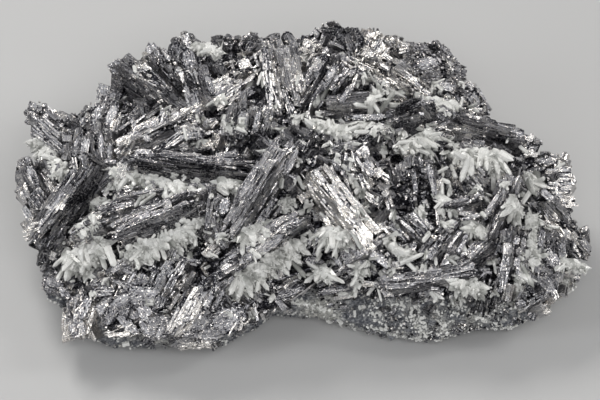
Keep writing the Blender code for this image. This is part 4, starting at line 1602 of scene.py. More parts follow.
LEAVES = rows(
    Leaf,
    (-106, 40, 82, 16, 7, 0.36), (-98, 42, 78, 17, 7, 0.38), (-98, 53, 20, 8, 5, 0.34),
    (-104, 36, 85, 8, 5, 0.5), (-111, 26, 85, 13, 5, 0.4), (-115, 26, 70, 14, 5, 0.38),
    (-102, 26, 95, 16, 4, 0.46), (-98, 23, 90, 10, 4, 0.4), (-109, 18, 100, 10, 4, 0.34),
    (-116, 17, 100, 7, 3, 0.8, 2), (-112, 39, 40, 5, 4, 0.4), (-64, 74, -70, 17, 11, 0.28),
    (-58, 71, -75, 15, 8, 0.34), (-53, 48, -72, 19, 7, 0.3), (-58, 52, -78, 16, 4, 0.42),
    (-47, 58, -75, 11, 5, 0.34), (-76, 59, -20, 6, 3, 0.7, 2), (-82, 67, 20, 7, 4, 0.66, 3),
    (-71, 40, 72, 11, 3, 0.42, 2), (-68, 40, 72, 10, 2, 0.3), (-86, 37, -70, 9, 3, 0.4),
    (-78, 30, -45, 6, 4, 0.6), (-130, 32, -40, 22, 11, 0.5, 8), (-124, 26, -40, 16, 3, 0.5, 3),
    (-70, 25, 34, 28, 5, 0.66, 4), (-56, 31, 8, 16, 5, 0.42), (-142, 21, 60, 9, 4, 0.36),
    (-138, 11, -60, 13, 5, 0.34), (-27, 80, 60, 8, 5, 0.32), (-38, 51, 35, 14, 7, 0.78, 5),
    (-30, 58, 38, 18, 2, 0.85, 1), (-27, 54, 35, 9, 6, 0.32), (-37, 60, -35, 6, 4, 0.72, 2),
    (-30, 37, 85, 18, 8, 0.38), (-22, 38, 80, 13, 4, 0.34), (-5, 82, -60, 13, 6, 0.44),
    (-14, 85, 20, 8, 5, 0.4), (-1, 59, -80, 11, 4, 0.74, 1), (3, 78, 40, 8, 5, 0.8, 3),
    (6, 71, 62, 9, 4, 0.62, 2), (15, 62, 60, 18, 5, 0.28), (9, 55, 55, 16, 3, 0.34),
    (23, 52, 50, 14, 4, 0.36), (27, 58, 60, 10, 3, 0.8, 2), (27, 81, -70, 16, 6, 0.38),
    (41, 80, 60, 8, 3, 0.82, 2), (36, 75, -10, 7, 4, 0.72, 3), (46, 73, -35, 9, 3, 0.84, 3),
    (44, 68, -30, 7, 2, 0.8, 1), (32, 70, -25, 15, 3, 0.74, 3), (55, 77, 10, 7, 3, 0.72, 2),
    (67, 70, 20, 14, 8, 0.4), (76, 58, -20, 13, 6, 0.4), (64, 56, -38, 13, 3, 0.7, 3),
    (57, 62, -38, 15, 4, 0.66, 3), (76, 49, 80, 6, 3, 0.8, 3), (34, 41, 1, 22, 4, 0.33),
    (-13, 55, -80, 24, 11, 0.7, 7), (-17, 72, -85, 15, 6, 0.56, 4), (-6, 49, -68, 16, 4, 0.64, 3),
    (-23, 72, -75, 10, 2, 0.74, 1), (-35, 67, -75, 11, 2, 0.8, 1), (26, 18, 75, 11, 3, 0.44, 1),
    (23, 17, 80, 11, 3, 0.6, 1), (30, 17, -62, 10, 2, 0.7, 1), (32, 8, -72, 9, 4, 0.74, 2),
    (26, 9, 80, 6, 3, 0.66, 1), (37, -2, -40, 10, 3, 0.8, 3), (43, 10, -32, 7, 4, 0.84, 2),
    (45, -4, -80, 7, 4, 0.85, 2), (7, 18, 40, 7, 4, 0.72, 2), (6, 5, -55, 7, 4, 0.7, 2),
    (23, -4, -52, 17, 5, 0.92, 2), (15, 3, -52, 13, 3, 0.84, 2), (15, -14, -50, 10, 4, 0.94, 1),
    (13, -4, -50, 8, 3, 0.74, 2), (26, -13, -32, 8, 3, 0.85, 2), (29, -21, -50, 13, 3, 0.6, 3),
    (19, 18, 80, 10, 6, 0.28), (-38, -5, 80, 10, 6, 0.32), (-18, -9, 60, 24, 6, 0.4),
    (-5, 18, 60, 18, 5, 0.38), (58, 7, -85, 14, 3, 0.36), (60, 17, -70, 7, 4, 0.28),
    (50, -18, -42, 14, 4, 0.4, 2), (54, -15, -42, 11, 2, 0.6, 1), (6, -32, 10, 8, 5, 0.33),
    (-20, -26, 32, 32, 6, 0.42), (-37, 21, 0, 14, 4, 0.36), (-50, 20, -10, 7, 2, 0.7, 2),
    (67, 8, -80, 19, 4, 0.4), (81, -3, 20, 21, 4, 0.3), (74, -15, 25, 18, 4, 0.38),
    (88, -10, 20, 15, 3, 0.44), (97, -5, 65, 18, 4, 0.44), (102, 3, 65, 16, 3, 0.38),
    (109, -22, 80, 5, 4, 0.5), (110, -28, 80, 5, 4, 0.48), (109, -33, 80, 5, 4, 0.45),
    (78, -21, 55, 14, 3, 0.56, 1), (82, -24, 60, 13, 3, 0.38), (103, -38, 80, 23, 6, 0.34),
    (122, -21, 75, 11, 4, 0.34), (128, -32, -60, 14, 8, 0.4), (125, -44, -50, 14, 8, 0.38),
    (133, -27, -75, 11, 5, 0.36), (118, -34, -70, 13, 6, 0.4), (129, -49, -75, 7, 4, 0.56, 3),
    (119, 24, 3, 7, 5, 0.85, 3), (128, 18, 0, 11, 5, 0.38), (134, 8, 0, 14, 14, 0.62, 6),
    (139, -3, 15, 9, 6, 0.95, 2), (136, 14, 5, 10, 4, 0.5, 3), (142, 9, -70, 6, 4, 0.7, 2),
    (-125, -44, -22, 11, 6, 0.32), (-119, -49, -45, 10, 5, 0.36), (-110, -57, 58, 16, 7, 0.34),
    (-112, -67, 20, 9, 8, 0.42, 4), (-95, -58, 70, 17, 6, 0.4), (-89, -52, 30, 14, 7, 0.38),
    (-79, -50, -5, 19, 14, 0.42), (-78, -58, -60, 11, 9, 0.4), (-70, -52, 60, 10, 7, 0.38),
    (-87, -64, -40, 18, 5, 0.42), (-78, -66, -60, 13, 4, 0.38), (-70, -67, 60, 11, 4, 0.42),
    (-66, -65, 75, 7, 3, 0.46), (-90, -71, -40, 11, 3, 0.74, 1), (-99, -70, 30, 7, 4, 0.84, 3),
    (-73, -36, -30, 7, 5, 0.24), (-100, -47, 0, 13, 7, 0.34, 4), (-86, -37, -40, 7, 5, 0.32),
    (-88, -44, -20, 15, 3, 0.44), (-59, -61, 62, 26, 10, 0.8, 5), (-38, -62, 25, 22, 15, 0.4),
    (-45, -69, 10, 16, 7, 0.36), (-55, -69, 0, 10, 5, 0.3), (-57, -54, 60, 23, 3, 0.94, 1),
    (-49, -59, 60, 8, 2, 0.9, 1), (-45, -50, 62, 16, 4, 0.38), (-41, -52, 65, 14, 3, 0.28),
    (-62, -39, 60, 18, 4, 0.6, 4), (81, -59, 85, 15, 14, 0.28, 5), (105, -58, 10, 7, 5, 0.24),
    (112, -54, 0, 6, 4, 0.24), (69, -55, -80, 10, 6, 0.34, 4), (16, -47, 10, 16, 5, 0.3),
    (-5, -48, 20, 16, 5, 0.28), (52, -52, -20, 13, 6, 0.34),
)


@dataclass
class LeafGroup(Growth):
    """The plates seen face on, each rooted in what is behind it."""

    title = "face_on_plates"
    surface: Surface
    seed: int = 717
    plain_on: float = 0.5  # how far a plain plate turns to face the front
    ruled_on: float = 0.88  # how far a ruled one does
    flash_from: float = 0.88  # a plate brighter than this turns all the way
    reach: float = 0.36  # how far from its middle it is felt for a seat
    least: int = 3  # how many seats it has to find
    root: float = 4.4
    layer: float = 0.6
    layers: int = 5
    proud: float = 0.8
    sides: int = 10
    # painted shade: the root plate under each plain plate is near black, a dark rim round it
    root_painted_shade: float = 0.08
    painted_shade_backing: float = 0.12  # the painted shade of the dark plate under the bars

    def seats(self, leaf: Leaf) -> list:
        """What lies under the middle of a plate and four places round it.

        Args:
            leaf: the plate.

        Returns:
            The places and normals that were found.
        """
        along, across = directions(leaf.heading)
        along, across = along * leaf.length * self.reach, across * leaf.breadth * self.reach
        steps = (0 * along, along, -along, across, -across)
        sites = [self.surface.site(*(np.array((leaf.u, leaf.v)) + step)) for step in steps]
        return [site for site in sites if site]

    def build(self) -> None:
        """Sets each plate on the higher parts of what it covers."""
        for leaf in LEAVES:
            seats = self.seats(leaf)
            if len(seats) < self.least:
                continue
            depth = float(np.quantile([place @ Plan.out for place, _ in seats], self.proud))
            place = Plan.point(leaf.u, leaf.v, 0)
            place = place + Plan.out * (depth - place @ Plan.out)
            share = self.ruled_on if leaf.bars else self.plain_on
            share = 1.0 if leaf.tone > self.flash_from else share
            face = Plan.towards_front(unit(sum(normal for _, normal in seats)), share)
            run = square_to(Plan.heading(leaf.heading), face)
            axes = turned(facing(run, face), 5 - 4 * share, self.rng)
            make = self.ruled if leaf.bars else self.plain
            make(leaf, place, axes)

    def plain(self, leaf: Leaf, place: Array, axes: Array) -> None:
        """A rounded plate with low terraces and a few grains on its rim, over a root plate dark
        with painted shade.

        Args:
            leaf: the plate.
            place: its middle.
            axes: its axes along, across and out, one in each row.
        """
        size = np.array((leaf.length, leaf.breadth))
        for i in range(self.layers):
            share = 1.08 - 0.2 * i if i < 2 else 1.04 - 0.17 * i
            thick = self.layer if i else self.root
            lift = self.layer * i + 0.3 if i else -0.5 * self.root + 0.4
            shift = self.rng.uniform(-0.36, 0.36, 2) * (1 - share) * size
            breadths = size * share * self.rng.uniform(0.9, 1.05, 2)
            outline = disc_outline(*breadths, self.sides, self.rng)
            origin = place + np.array((*shift, lift)) @ axes
            tone = leaf.tone + self.rng.normal(0, 0.07) if i else self.root_painted_shade
            own = turned(axes, 1.5 + 1.5 * (i > 0), self.rng)
            self.shards.lay(plate(outline, thick, self.rng), origin, own, tone)
        for _ in range(int(leaf.length)):
            spot = on_circle(self.rng.uniform(0, math.tau)) * size * self.rng.uniform(0.3, 0.5)
            origin = place + np.array((*spot, self.rng.uniform(0, 1.2))) @ axes
            outline = block_outline(*self.rng.uniform(0.4, 1.3, 2))
            tone = leaf.tone + self.rng.normal(0.15, 0.3)
            own = turned(axes, 20, self.rng)
            self.shards.lay(plate(outline, 0.6, self.rng), origin, own, tone)

    def ruled(self, leaf: Leaf, place: Array, axes: Array) -> None:
        """Bright bars side by side over a plate dark with painted shade.

        Args:
            leaf: the plate.
            place: its middle.
            axes: its axes along, across and out, one in each row.
        """
        outline = lozenge(leaf.length * 0.92, leaf.breadth * 0.92, self.rng)
        origin = place - axes[2] * (0.5 * self.root - 0.3)
        self.shards.lay(plate(outline, self.root, self.rng), origin, axes, self.painted_shade_backing)
        pitch = leaf.breadth / leaf.bars
        for i in range(leaf.bars):
            parts = int(self.rng.integers(1, 3))
            for part in range(parts):
                run = leaf.length * self.rng.uniform(0.55, 0.98) / parts
                slack = leaf.length / parts - run
                along = ((part + 0.5) / parts - 0.5) * leaf.length
                along += self.rng.uniform(-0.5, 0.5) * slack
                spot = (along, (i + 0.5) * pitch - leaf.breadth / 2, self.rng.uniform(0.2, 0.9))
                outline = lozenge(run, pitch * self.rng.uniform(0.45, 0.8), self.rng)
                own = turned(axes, 2.5, self.rng)
                tone = leaf.tone + self.rng.normal(0, 0.13)
                origin = place + np.array(spot) @ axes
                self.shards.lay(plate(outline, 0.9, self.rng), origin, own, tone)


@dataclass(frozen=True)
class Glint:
    """A patch of small laths painted bright, as painted glints: its place, heading and size, and
    how many there are.
    """

    u: float
    v: float
    heading: float
    length: float
    breadth: float
    count: int


GLINTS = rows(
    Glint,
    (-88, 27, 60, 8, 6, 12), (-82, 66, -30, 9, 8, 14), (-37, 66, 75, 10, 2, 5),
    (-37, 50, 35, 12, 8, 16), (-28, 60, 30, 13, 2, 6), (-10, 60, -77, 34, 16, 34),
    (0, 57, -82, 12, 5, 12), (5, 77, 20, 10, 8, 22), (27, 57, 70, 9, 4, 8),
    (42, 78, 50, 20, 18, 40), (31, 68, -25, 18, 5, 16), (46, 61, -42, 16, 6, 16),
    (62, 57, -35, 18, 10, 34), (92, 43, -10, 12, 8, 14), (119, 24, 0, 6, 7, 8),
    (-143, 4, 75, 5, 3, 6), (-137, -18, 20, 9, 7, 16), (-121, -4, 45, 9, 3, 8),
    (18, -8, -50, 42, 10, 22), (23, -6, -50, 12, 7, 12), (14, -13, -40, 7, 6, 12),
    (28, 11, -65, 18, 14, 26), (37, -3, -35, 10, 5, 10), (139, -2, 10, 9, 6, 26),
    (135, 9, 0, 16, 22, 24), (138, -21, -50, 30, 6, 30), (-92, -69, 20, 18, 7, 34),
    (-55, -58, 50, 20, 7, 34), (-60, -43, 60, 18, 5, 14), (-44, -75, 5, 30, 5, 40),
    (-110, -63, 70, 14, 12, 26), (-30, -64, 60, 12, 5, 14), (128, -55, 30, 9, 5, 12),
    (-52, 33, 0, 16, 6, 10), (70, 36, -10, 30, 8, 12), (-75, 53, -40, 30, 6, 10),
    (-60, 40, 30, 24, 8, 12),
)


@dataclass
class GlintGroup(Growth):
    """Small laths lying on the twins, turned to the front where their cleavage catches the light,
    with painted highlights in their colour.
    """

    title = "painted_glint_laths"
    surface: Surface
    seed: int = 606
    square_on: float = 0.75  # how far each turns to face the front
    # painted highlight: the laths' tones are set bright
    tones: tuple = (0.7, 1.0)
    breadths: tuple = (0.5, 1.6)
    thick: float = 0.7

    def build(self) -> None:
        """Lays each patch on the surface."""
        for glint in GLINTS:
            along, across = directions(glint.heading)
            for _ in range(glint.count):
                shift = self.rng.uniform(-0.5, 0.5, 2) * (glint.length, glint.breadth)
                u, v = np.array((glint.u, glint.v)) + shift[0] * along + shift[1] * across
                site = self.surface.site(u, v)
                if site:
                    self.lath(*site, Plan.heading(glint.heading))

    def lath(self, place: Array, normal: Array, along: Array) -> None:
        """One lath, turned from its seat towards the front.

        Args:
            place: its middle.
            normal: the normal of the surface there.
            along: the direction of the patch.
        """
        face = Plan.towards_front(normal, self.square_on)
        axes = turned(facing(square_to(along, face), face), 10, self.rng)
        outline = lozenge(1 + self.rng.gamma(1.6, 1.5), self.rng.uniform(*self.breadths), self.rng)
        tone = self.rng.uniform(*self.tones)
        self.shards.lay(plate(outline, self.thick, self.rng), place, axes, tone)


@dataclass
class LargePrisms(Growth):
    """The large quartz crystals that stand out of the combs."""

    title = "large_crystals"
    slot = "quartz"
    seats: Skin
    seed: int = 909
    rise: float = 1.6
    tilts: tuple = (4, 24)
    tries: int = 6

    def build(self) -> None:
        """Sets each crystal on what is under its foot."""
        for prism in PRISMS:
            site = self.seats.site(prism.u1, prism.v1)
            if site:
                self.prism(prism, site[0])

    def prism(self, prism: Prism, seat: Array) -> None:
        """One crystal, raised until it is free, and lowered into the frame's box.

        Args:
            prism: the crystal.
            seat: what is under its foot.
        """
        run = np.array((prism.u2 - prism.u1, prism.v2 - prism.v1))
        length = float(np.linalg.norm(run))
        flat = unit(run[0] * Plan.right + run[1] * Plan.up)
        direction = unit(flat + Plan.out * math.tan(math.radians(self.rng.uniform(*self.tilts))))
        base = seat + Plan.out * self.rise
        for _ in range(self.tries):
            if self.seats.is_free(base + direction * 2, direction, length):
                break
            direction = unit(direction + Plan.out * 0.2)
        foot = seat + Plan.out * 0.5 * prism.radius
        over = (foot + direction * length)[2] + prism.radius - BOX[1][2] / MM
        foot = foot - np.array((0, 0, max(over, 0)))
        quartz_point(self.shards, foot, direction, length, prism.radius, self.rng)


@dataclass
class LooseQuartz(Growth):
    """Single crystals and small grains of quartz between the blades."""

    title = "loose_crystals"
    slot = "quartz"
    surface: Surface
    twins: list
    tufts: int = 420
    spared: float = 0.88  # how many of those on a twin are left out
    seed: int = 404
    across: tuple = (-135, 70, 138)  # where they are on the plan, densest at the second
    upward: tuple = (-62, 74)
    headings: tuple = (-150, -10)
    lengths: tuple = (2.2, 7.5)
    radii: tuple = (0.6, 1.4)

    def build(self) -> None:
        """Sets small tufts over the show face."""
        for _ in range(self.tufts):
            u, v = self.rng.triangular(*self.across), self.rng.uniform(*self.upward)
            site = self.surface.site(u, v)
            if not site:
                continue
            on_twin = any(twin.covers(site[0][None])[0] for twin in self.twins)
            if not (on_twin and self.rng.random() < self.spared):
                self.tuft(site[0])

    def tuft(self, place: Array) -> None:
        """A few crystals that grow from one place.

        Args:
            place: the place.
        """
        heading = self.rng.uniform(*self.headings)
        for _ in range(self.rng.integers(1, 5)):
            flat = Plan.heading(heading + self.rng.normal(0, 35))
            direction = unit(flat * self.rng.uniform(0.3, 1) + Plan.out * self.rng.uniform(0.3, 1))
            length = self.rng.uniform(*self.lengths)
            base = place + self.rng.normal(0, 0.8, 3)
            radius = self.rng.uniform(*self.radii)
            quartz_point(self.shards, base, direction, length, radius, self.rng)


@dataclass
class RockChips(Seeded):
    """Angular grains of rock, galena and quartz over the bed's flank."""

    skin: Skin
    chips: int = 12500
    seed: int = 515
    chip_sizes: tuple = (0.5, 1.7)
    lowest: float = 1.2  # no grain is set lower than this
    underside: float = -0.6  # or where the bed faces further down than this
    crust_across: tuple = (34, 138)  # the pale crust on the bed lies between these u
    crust_top: float = 34
    crust_layers: int = 4
    quartz_share: float = 0.06
    crust_share: float = 0.56  # how much of the crust is quartz
    metal_from: float = 0.8
    vein: tuple = ((-29, -44), (-21, -48), (-12, -52), (0, -54), (13, -58))
    vein_breadth: float = 2.0
    vein_chips: int = 80
    slab_count: int = 1300
    slab_lowest: float = 4
    slab_underside: float = -0.3
    slab_sizes: tuple = (2.5, 7.0)
    slab_thicknesses: tuple = (0.6, 1.6)
    pale_size: float = 0.45  # how large a pale slab is beside the others
    rock: Shards = field(default_factory=Shards)
    pale: Shards = field(default_factory=Shards)
    metal: Shards = field(default_factory=Shards)

    def build(self) -> None:
        """Sets grains all over the bed, but for its base."""
        places, normals = self.skin.scatter(self.chips, self.rng)
        for place, normal, (u, v) in zip(places, normals, Plan.places(places)):
            if place[2] < self.lowest or normal[2] < self.underside:
                continue
            crusted = self.crust_across[0] < u < self.crust_across[1]
            crusted = crusted and place[1] < 0 and place[2] < self.crust_top
            quartzy = self.crust_share if crusted else self.quartz_share
            for i in range(self.crust_layers if crusted else 1):
                spot = place + square_to(self.rng.normal(0, 1, 3), normal) * 1.7 * i**0.5
                patch = noise.noise(Vector(spot * 0.13))
                draw = self.rng.random() - 1.6 * patch - self.near_vein(u, v)
                dark = self.metal if draw > self.metal_from else self.rock
                target = self.pale if draw < quartzy else dark
                self.chip(target, spot, normal)
        self.slabs()
        for start, end in zip(self.vein, self.vein[1:]):
            for _ in range(self.vein_chips):
                u, v = np.array(start) + self.rng.random() * np.subtract(end, start)
                site = self.skin.site(u + self.rng.normal(0, 0.5), v + self.rng.normal(0, 0.7))
                if site:
                    self.chip(self.pale, *site)

    def chip(self, target: Shards, place: Array, normal: Array) -> None:
        """One angular grain.

        Args:
            target: the grains of its kind.
            place: where it lies.
            normal: the normal of the bed there.
        """
        size = self.rng.uniform(*self.chip_sizes)
        sides = int(self.rng.integers(4, 7))
        outline = disc_outline(size * self.rng.uniform(1.0, 1.6), size, sides, self.rng)
        local = plate(outline, size * self.rng.uniform(0.4, 0.9), self.rng)
        own = turned(facing(square_to(self.rng.normal(0, 1, 3), normal), normal), 28, self.rng)
        tone = self.rng.normal(0.36, 0.36) - 0.12 * (target is self.pale)
        target.lay(local, place - normal * 0.2, own, tone)

    def slabs(self) -> None:
        """Sets larger broken plates of every kind, half sunk in the bed."""
        places, normals = self.skin.scatter(self.slab_count, self.rng)
        for place, normal in zip(places, normals):
            if place[2] < self.slab_lowest or normal[2] < self.slab_underside:
                continue
            size = self.rng.uniform(*self.slab_sizes)
            side = square_to(self.rng.normal(0, 1, 3) * (1, 1, 0.4), normal)
            own = turned(lengthwise(side, normal), 22, self.rng)
            draw = self.rng.random()
            target = self.metal if draw < 0.5 else self.rock if draw < 0.8 else self.pale
            size *= self.pale_size if target is self.pale else 1.0
            middle_tone = 0.36 if place[1] < 0 else 0.28
            for i in range(self.rng.integers(1, 5)):
                outline = lath_outline(size * self.rng.uniform(0.7, 1.0), size * 0.7, 3, self.rng)
                local = plate(outline, self.rng.uniform(*self.slab_thicknesses), self.rng)
                spot = place + own[2] * 1.2 * i - normal * size * 0.1
                tone = self.rng.normal(middle_tone, 0.14)
                target.lay(local, spot, turned(own, 3, self.rng), tone)

    def near_vein(self, u: float, v: float) -> float:
        """Whether a place is on the vein of quartz across the bed's front.

        Args:
            u: the place to the right on the plan.
            v: the place up the plan.

        Returns:
            One on the vein, and nothing off it.
        """
        place = np.array((u, v))
        for start, end in zip(self.vein, self.vein[1:]):
            start, run = np.array(start), np.subtract(end, start)
            share = np.clip((place - start) @ run / (run @ run), 0, 1)
            if np.linalg.norm(place - start - share * run) < self.vein_breadth:
                return 1.0
        return 0.0

    def dress(self, rock: Material, quartz: Material, galena: Material) -> None:
        """Makes a piece of each kind of grain.

        Args:
            rock: the finish of the grains of rock.
            quartz: the finish of the pale grains.
            galena: the finish of the grains of metal.
        """
        self.rock.piece("bed_grains", rock, "rock")
        self.pale.piece("bed_pale_grains", quartz, "quartz")
        self.metal.piece("bed_metal_grains", galena, "galena")


class Tree:
    """A node tree being filled."""

    def __init__(self, tree: bpy.types.NodeTree) -> None:
        """Keeps the tree that is filled."""
        self.tree = tree

    def feed(self, node: bpy.types.Node, inputs: dict) -> None:
        """Sets what goes into a node.

        Args:
            node: the node.
            inputs: a value or a socket for each of its own sockets.
        """
        for name, value in inputs.items():
            if isinstance(value, Socket):
                self.tree.links.new(value, node.inputs[name])
            else:
                node.inputs[name].default_value = value

    def node(self, kind: str, inputs: dict | None = None, **settings: object) -> bpy.types.Node:
        """Adds a node.

        Args:
            kind: the node's type.
            inputs: a value or a socket for each of its own sockets.
            settings: its own properties.

        Returns:
            The node.
        """
        node = self.tree.nodes.new(kind)
        for name, value in settings.items():
            setattr(node, name, value)
        self.feed(node, inputs or {})
        return node

    def math(self, operation: str, first: object, second: object) -> Socket:
        """The result of a sum on two values or sockets."""
        return self.node("ShaderNodeMath", {0: first, 1: second}, operation=operation).outputs[0]

    def noise(self, **inputs: object) -> Socket:
        """The value of a noise with the given inputs."""
        return self.node("ShaderNodeTexNoise", inputs).outputs[0]

    def tone(self) -> Socket:
        """How bright the mesh says that a place is."""
        return self.node("ShaderNodeAttribute", attribute_name="tone").outputs["Fac"]

    def place(self) -> Socket:
        """Where a place is in its own object."""
        return self.node("ShaderNodeTexCoord").outputs["Object"]

    def ramp(self, value: Socket, *stops: tuple) -> Socket:
        """A colour for a value from 0 to 1.

        Args:
            value: the value.
            stops: places from 0 to 1, each with the colour there.

        Returns:
            The colour.
        """
        node = self.node("ShaderNodeValToRGB", {0: value})
        elements = node.color_ramp.elements
        while len(elements) < len(stops):
            elements.new(0.5)
        for element, (place, colour) in zip(elements, stops):
            element.position = place
            element.color = (*colour, 1)
        return node.outputs[0]

    def spread(self, value: Socket, low: object, high: object, to: tuple = (0.0, 1.0)) -> Socket:
        """A value mapped from the range low to high to another, and held inside that."""
        ends = {"From Min": low, "From Max": high, "To Min": to[0], "To Max": to[1]}
        return self.node("ShaderNodeMapRange", {"Value": value, **ends}).outputs[0]

    def bump(self, height: Socket, relief: tuple) -> Socket:
        """The normal of a surface with relief of a strength and a height in metres."""
        inputs = {"Strength": relief[0], "Distance": relief[1], "Height": height}
        return self.node("ShaderNodeBump", inputs).outputs[0]


def new_group(name: str, inputs: dict, outputs: tuple) -> tuple:
    """A new shader node group.

    Args:
        name: the group's name.
        inputs: socket names, each with its default value.
        outputs: names of the values that it puts out.

    Returns:
        The group's tree, its input sockets by name, and its output node.
    """
    group = bpy.data.node_groups.new(name, "ShaderNodeTree")
    for title, value in inputs.items():
        kind = "NodeSocketVector" if isinstance(value, tuple) else "NodeSocketFloat"
        socket = group.interface.new_socket(title, in_out="INPUT", socket_type=kind)
        socket.default_value = value
    for title in outputs:
        group.interface.new_socket(title, in_out="OUTPUT", socket_type="NodeSocketFloat")
    tree = Tree(group)
    return tree, tree.node("NodeGroupInput").outputs, tree.node("NodeGroupOutput")


@lru_cache
def grain_group() -> bpy.types.NodeTree:
    """Growth lines along a crystal, pits on it, and painted glints: small bright flecks that stand
    for its sparkle.

    Returns:
        The node group.
    """
    inputs = {"Vector": (0.0, 0.0, 0.0), "Along": 0.12, "Across": 1.6, "Pit Scale": 0.8}
    tree, given, end = new_group("crystal_grain", inputs, ("Lines", "Pits", "Painted Glints"))
    vector, along, across, fine = (given[name] for name in inputs)
    scale = tree.node("ShaderNodeCombineXYZ", {0: along, 1: across, 2: across}).outputs[0]
    stretched = tree.node("ShaderNodeVectorMath", {0: vector, 1: scale}, operation="MULTIPLY")
    lines = tree.noise(Vector=stretched.outputs[0], Scale=1.0, Detail=3.0, Roughness=0.6)
    pits = tree.noise(Vector=vector, Scale=fine, Detail=2.0, Roughness=0.7)
    painted_glints = tree.noise(Vector=vector, Scale=tree.math("MULTIPLY", fine, 1.7), Detail=1.0)
    tree.feed(end, {
        "Lines": tree.spread(lines, 0.3, 0.7), "Pits": tree.spread(pits, 0.52, 0.72),
        "Painted Glints": tree.spread(painted_glints, 0.59, 0.64),
    })
    return tree.tree


@lru_cache
def mottle_group() -> bpy.types.NodeTree:
    """Soft patches of tarnish or stain over a surface.

    Returns:
        The node group.
    """
    inputs = {"Vector": (0.0, 0.0, 0.0), "Scale": 30.0, "Low": 0.4, "High": 0.65}
    tree, given, end = new_group("mottle", inputs, ("Mask",))
    cloud = tree.noise(Vector=given["Vector"], Scale=given["Scale"], Detail=4.0)
    tree.feed(end, {"Mask": tree.spread(cloud, given["Low"], given["High"])})
    return tree.tree


class Finish:
    """A material of one Principled shader."""

    name: str

    def inputs(self, tree: Tree) -> dict:
        """What goes into the shader, by the names of its sockets."""
        raise NotImplementedError

    def make(self) -> Material:
        """Builds the material.

        Returns:
            The material.
        """
        material = bpy.data.materials.new(self.name)
        material.use_nodes = True
        tree = Tree(material.node_tree)
        tree.feed(material.node_tree.nodes["Principled BSDF"], self.inputs(tree))
        return material


@dataclass(frozen=True)
class GalenaFinish(Finish):
    """Lead-grey metal: bright cleavage with painted highlights, painted shade in the gaps, growth
    lines, painted glint flecks, and dark tarnish in patches.
    """

    name: str = "galena"
    # painted shade: the near black of the gaps between the crystals
    deep: tuple = (0.02, 0.02, 0.025)
    dark: tuple = (0.15, 0.149, 0.162)
    middle: tuple = (0.40, 0.40, 0.42)
    # the warm colour that painted highlights take
    bright: tuple = (0.92, 0.88, 0.83)
    rough: tuple = (0.46, 0.2)
    relief: tuple = (0.5, 0.0003)
    lined: tuple = (-0.22, 0.26)  # what growth lines take from the shine and add to it
    pitted: float = 0.42
    painted_glint_share: float = 0.62
    # painted highlight: how much the bright glint flecks add to the shine
    tarnish: float = 0.16

    def inputs(self, tree: Tree) -> dict:
        """What goes into the shader.

        Args:
            tree: the material's tree.

        Returns:
            Values and sockets, by the names of the shader's own.
        """
        vector = tree.node("ShaderNodeAttribute", attribute_name="grain").outputs["Vector"]
        grain = tree.node("ShaderNodeGroup", {"Vector": vector}, node_tree=grain_group())
        lines, pits, painted_glints = grain.outputs
        patches = {"Vector": tree.place()}
        mottle = tree.node("ShaderNodeGroup", patches, node_tree=mottle_group())
        shine = tree.math("ADD", tree.tone(), tree.spread(lines, 0, 1, self.lined))
        shine = tree.math("SUBTRACT", shine, tree.math("MULTIPLY", pits, self.pitted))
        shine = tree.math("ADD", shine, tree.math("MULTIPLY", painted_glints, self.painted_glint_share))
        dull = tree.math("MULTIPLY", mottle.outputs[0], self.tarnish)
        shine = tree.math("SUBTRACT", shine, dull)
        # the ramp paints light and shade from the tones: dark gaps up to bright highlights
        stops = (0, self.deep), (0.14, self.dark), (0.45, self.middle), (1, self.bright)
        return {
            "Base Color": tree.ramp(shine, *stops),
            "Roughness": tree.spread(shine, 0, 1, self.rough),
            "Normal": tree.bump(tree.math("SUBTRACT", lines, pits), self.relief),
            "Metallic": 1.0,
        }


@dataclass(frozen=True)
class QuartzFinish(Finish):
    """Milky, faintly green quartz with glossy faces."""

    name: str = "quartz"
    deep: tuple = (0.38, 0.385, 0.365)
    pale: tuple = (0.86, 0.86, 0.835)
    rough: tuple = (0.14, 0.34)
    clear: float = 0.1
    milk: float = 0.12
    milk_depth: float = 0.001  # how far light runs in the milk, in metres
    refraction: float = 1.544

    def inputs(self, tree: Tree) -> dict:
        """What goes into the shader.

        Args:
            tree: the material's tree.

        Returns:
            Values and sockets, by the names of the shader's own.
        """
        patches = {"Vector": tree.place(), "Scale": 160.0, "Low": 0.3, "High": 0.7}
        mottle = tree.node("ShaderNodeGroup", patches, node_tree=mottle_group()).outputs[0]
        milk = tree.math("ADD", mottle, tree.tone())
        return {
            "Base Color": tree.ramp(milk, (0.0, self.deep), (0.6, self.pale), (1.0, self.pale)),
            "Roughness": tree.spread(mottle, 0, 1, self.rough),
            "Transmission Weight": self.clear,
            "Subsurface Weight": self.milk,
            "Subsurface Radius": (1, 1, 1),
            "Subsurface Scale": self.milk_depth,
            "IOR": self.refraction,
        }


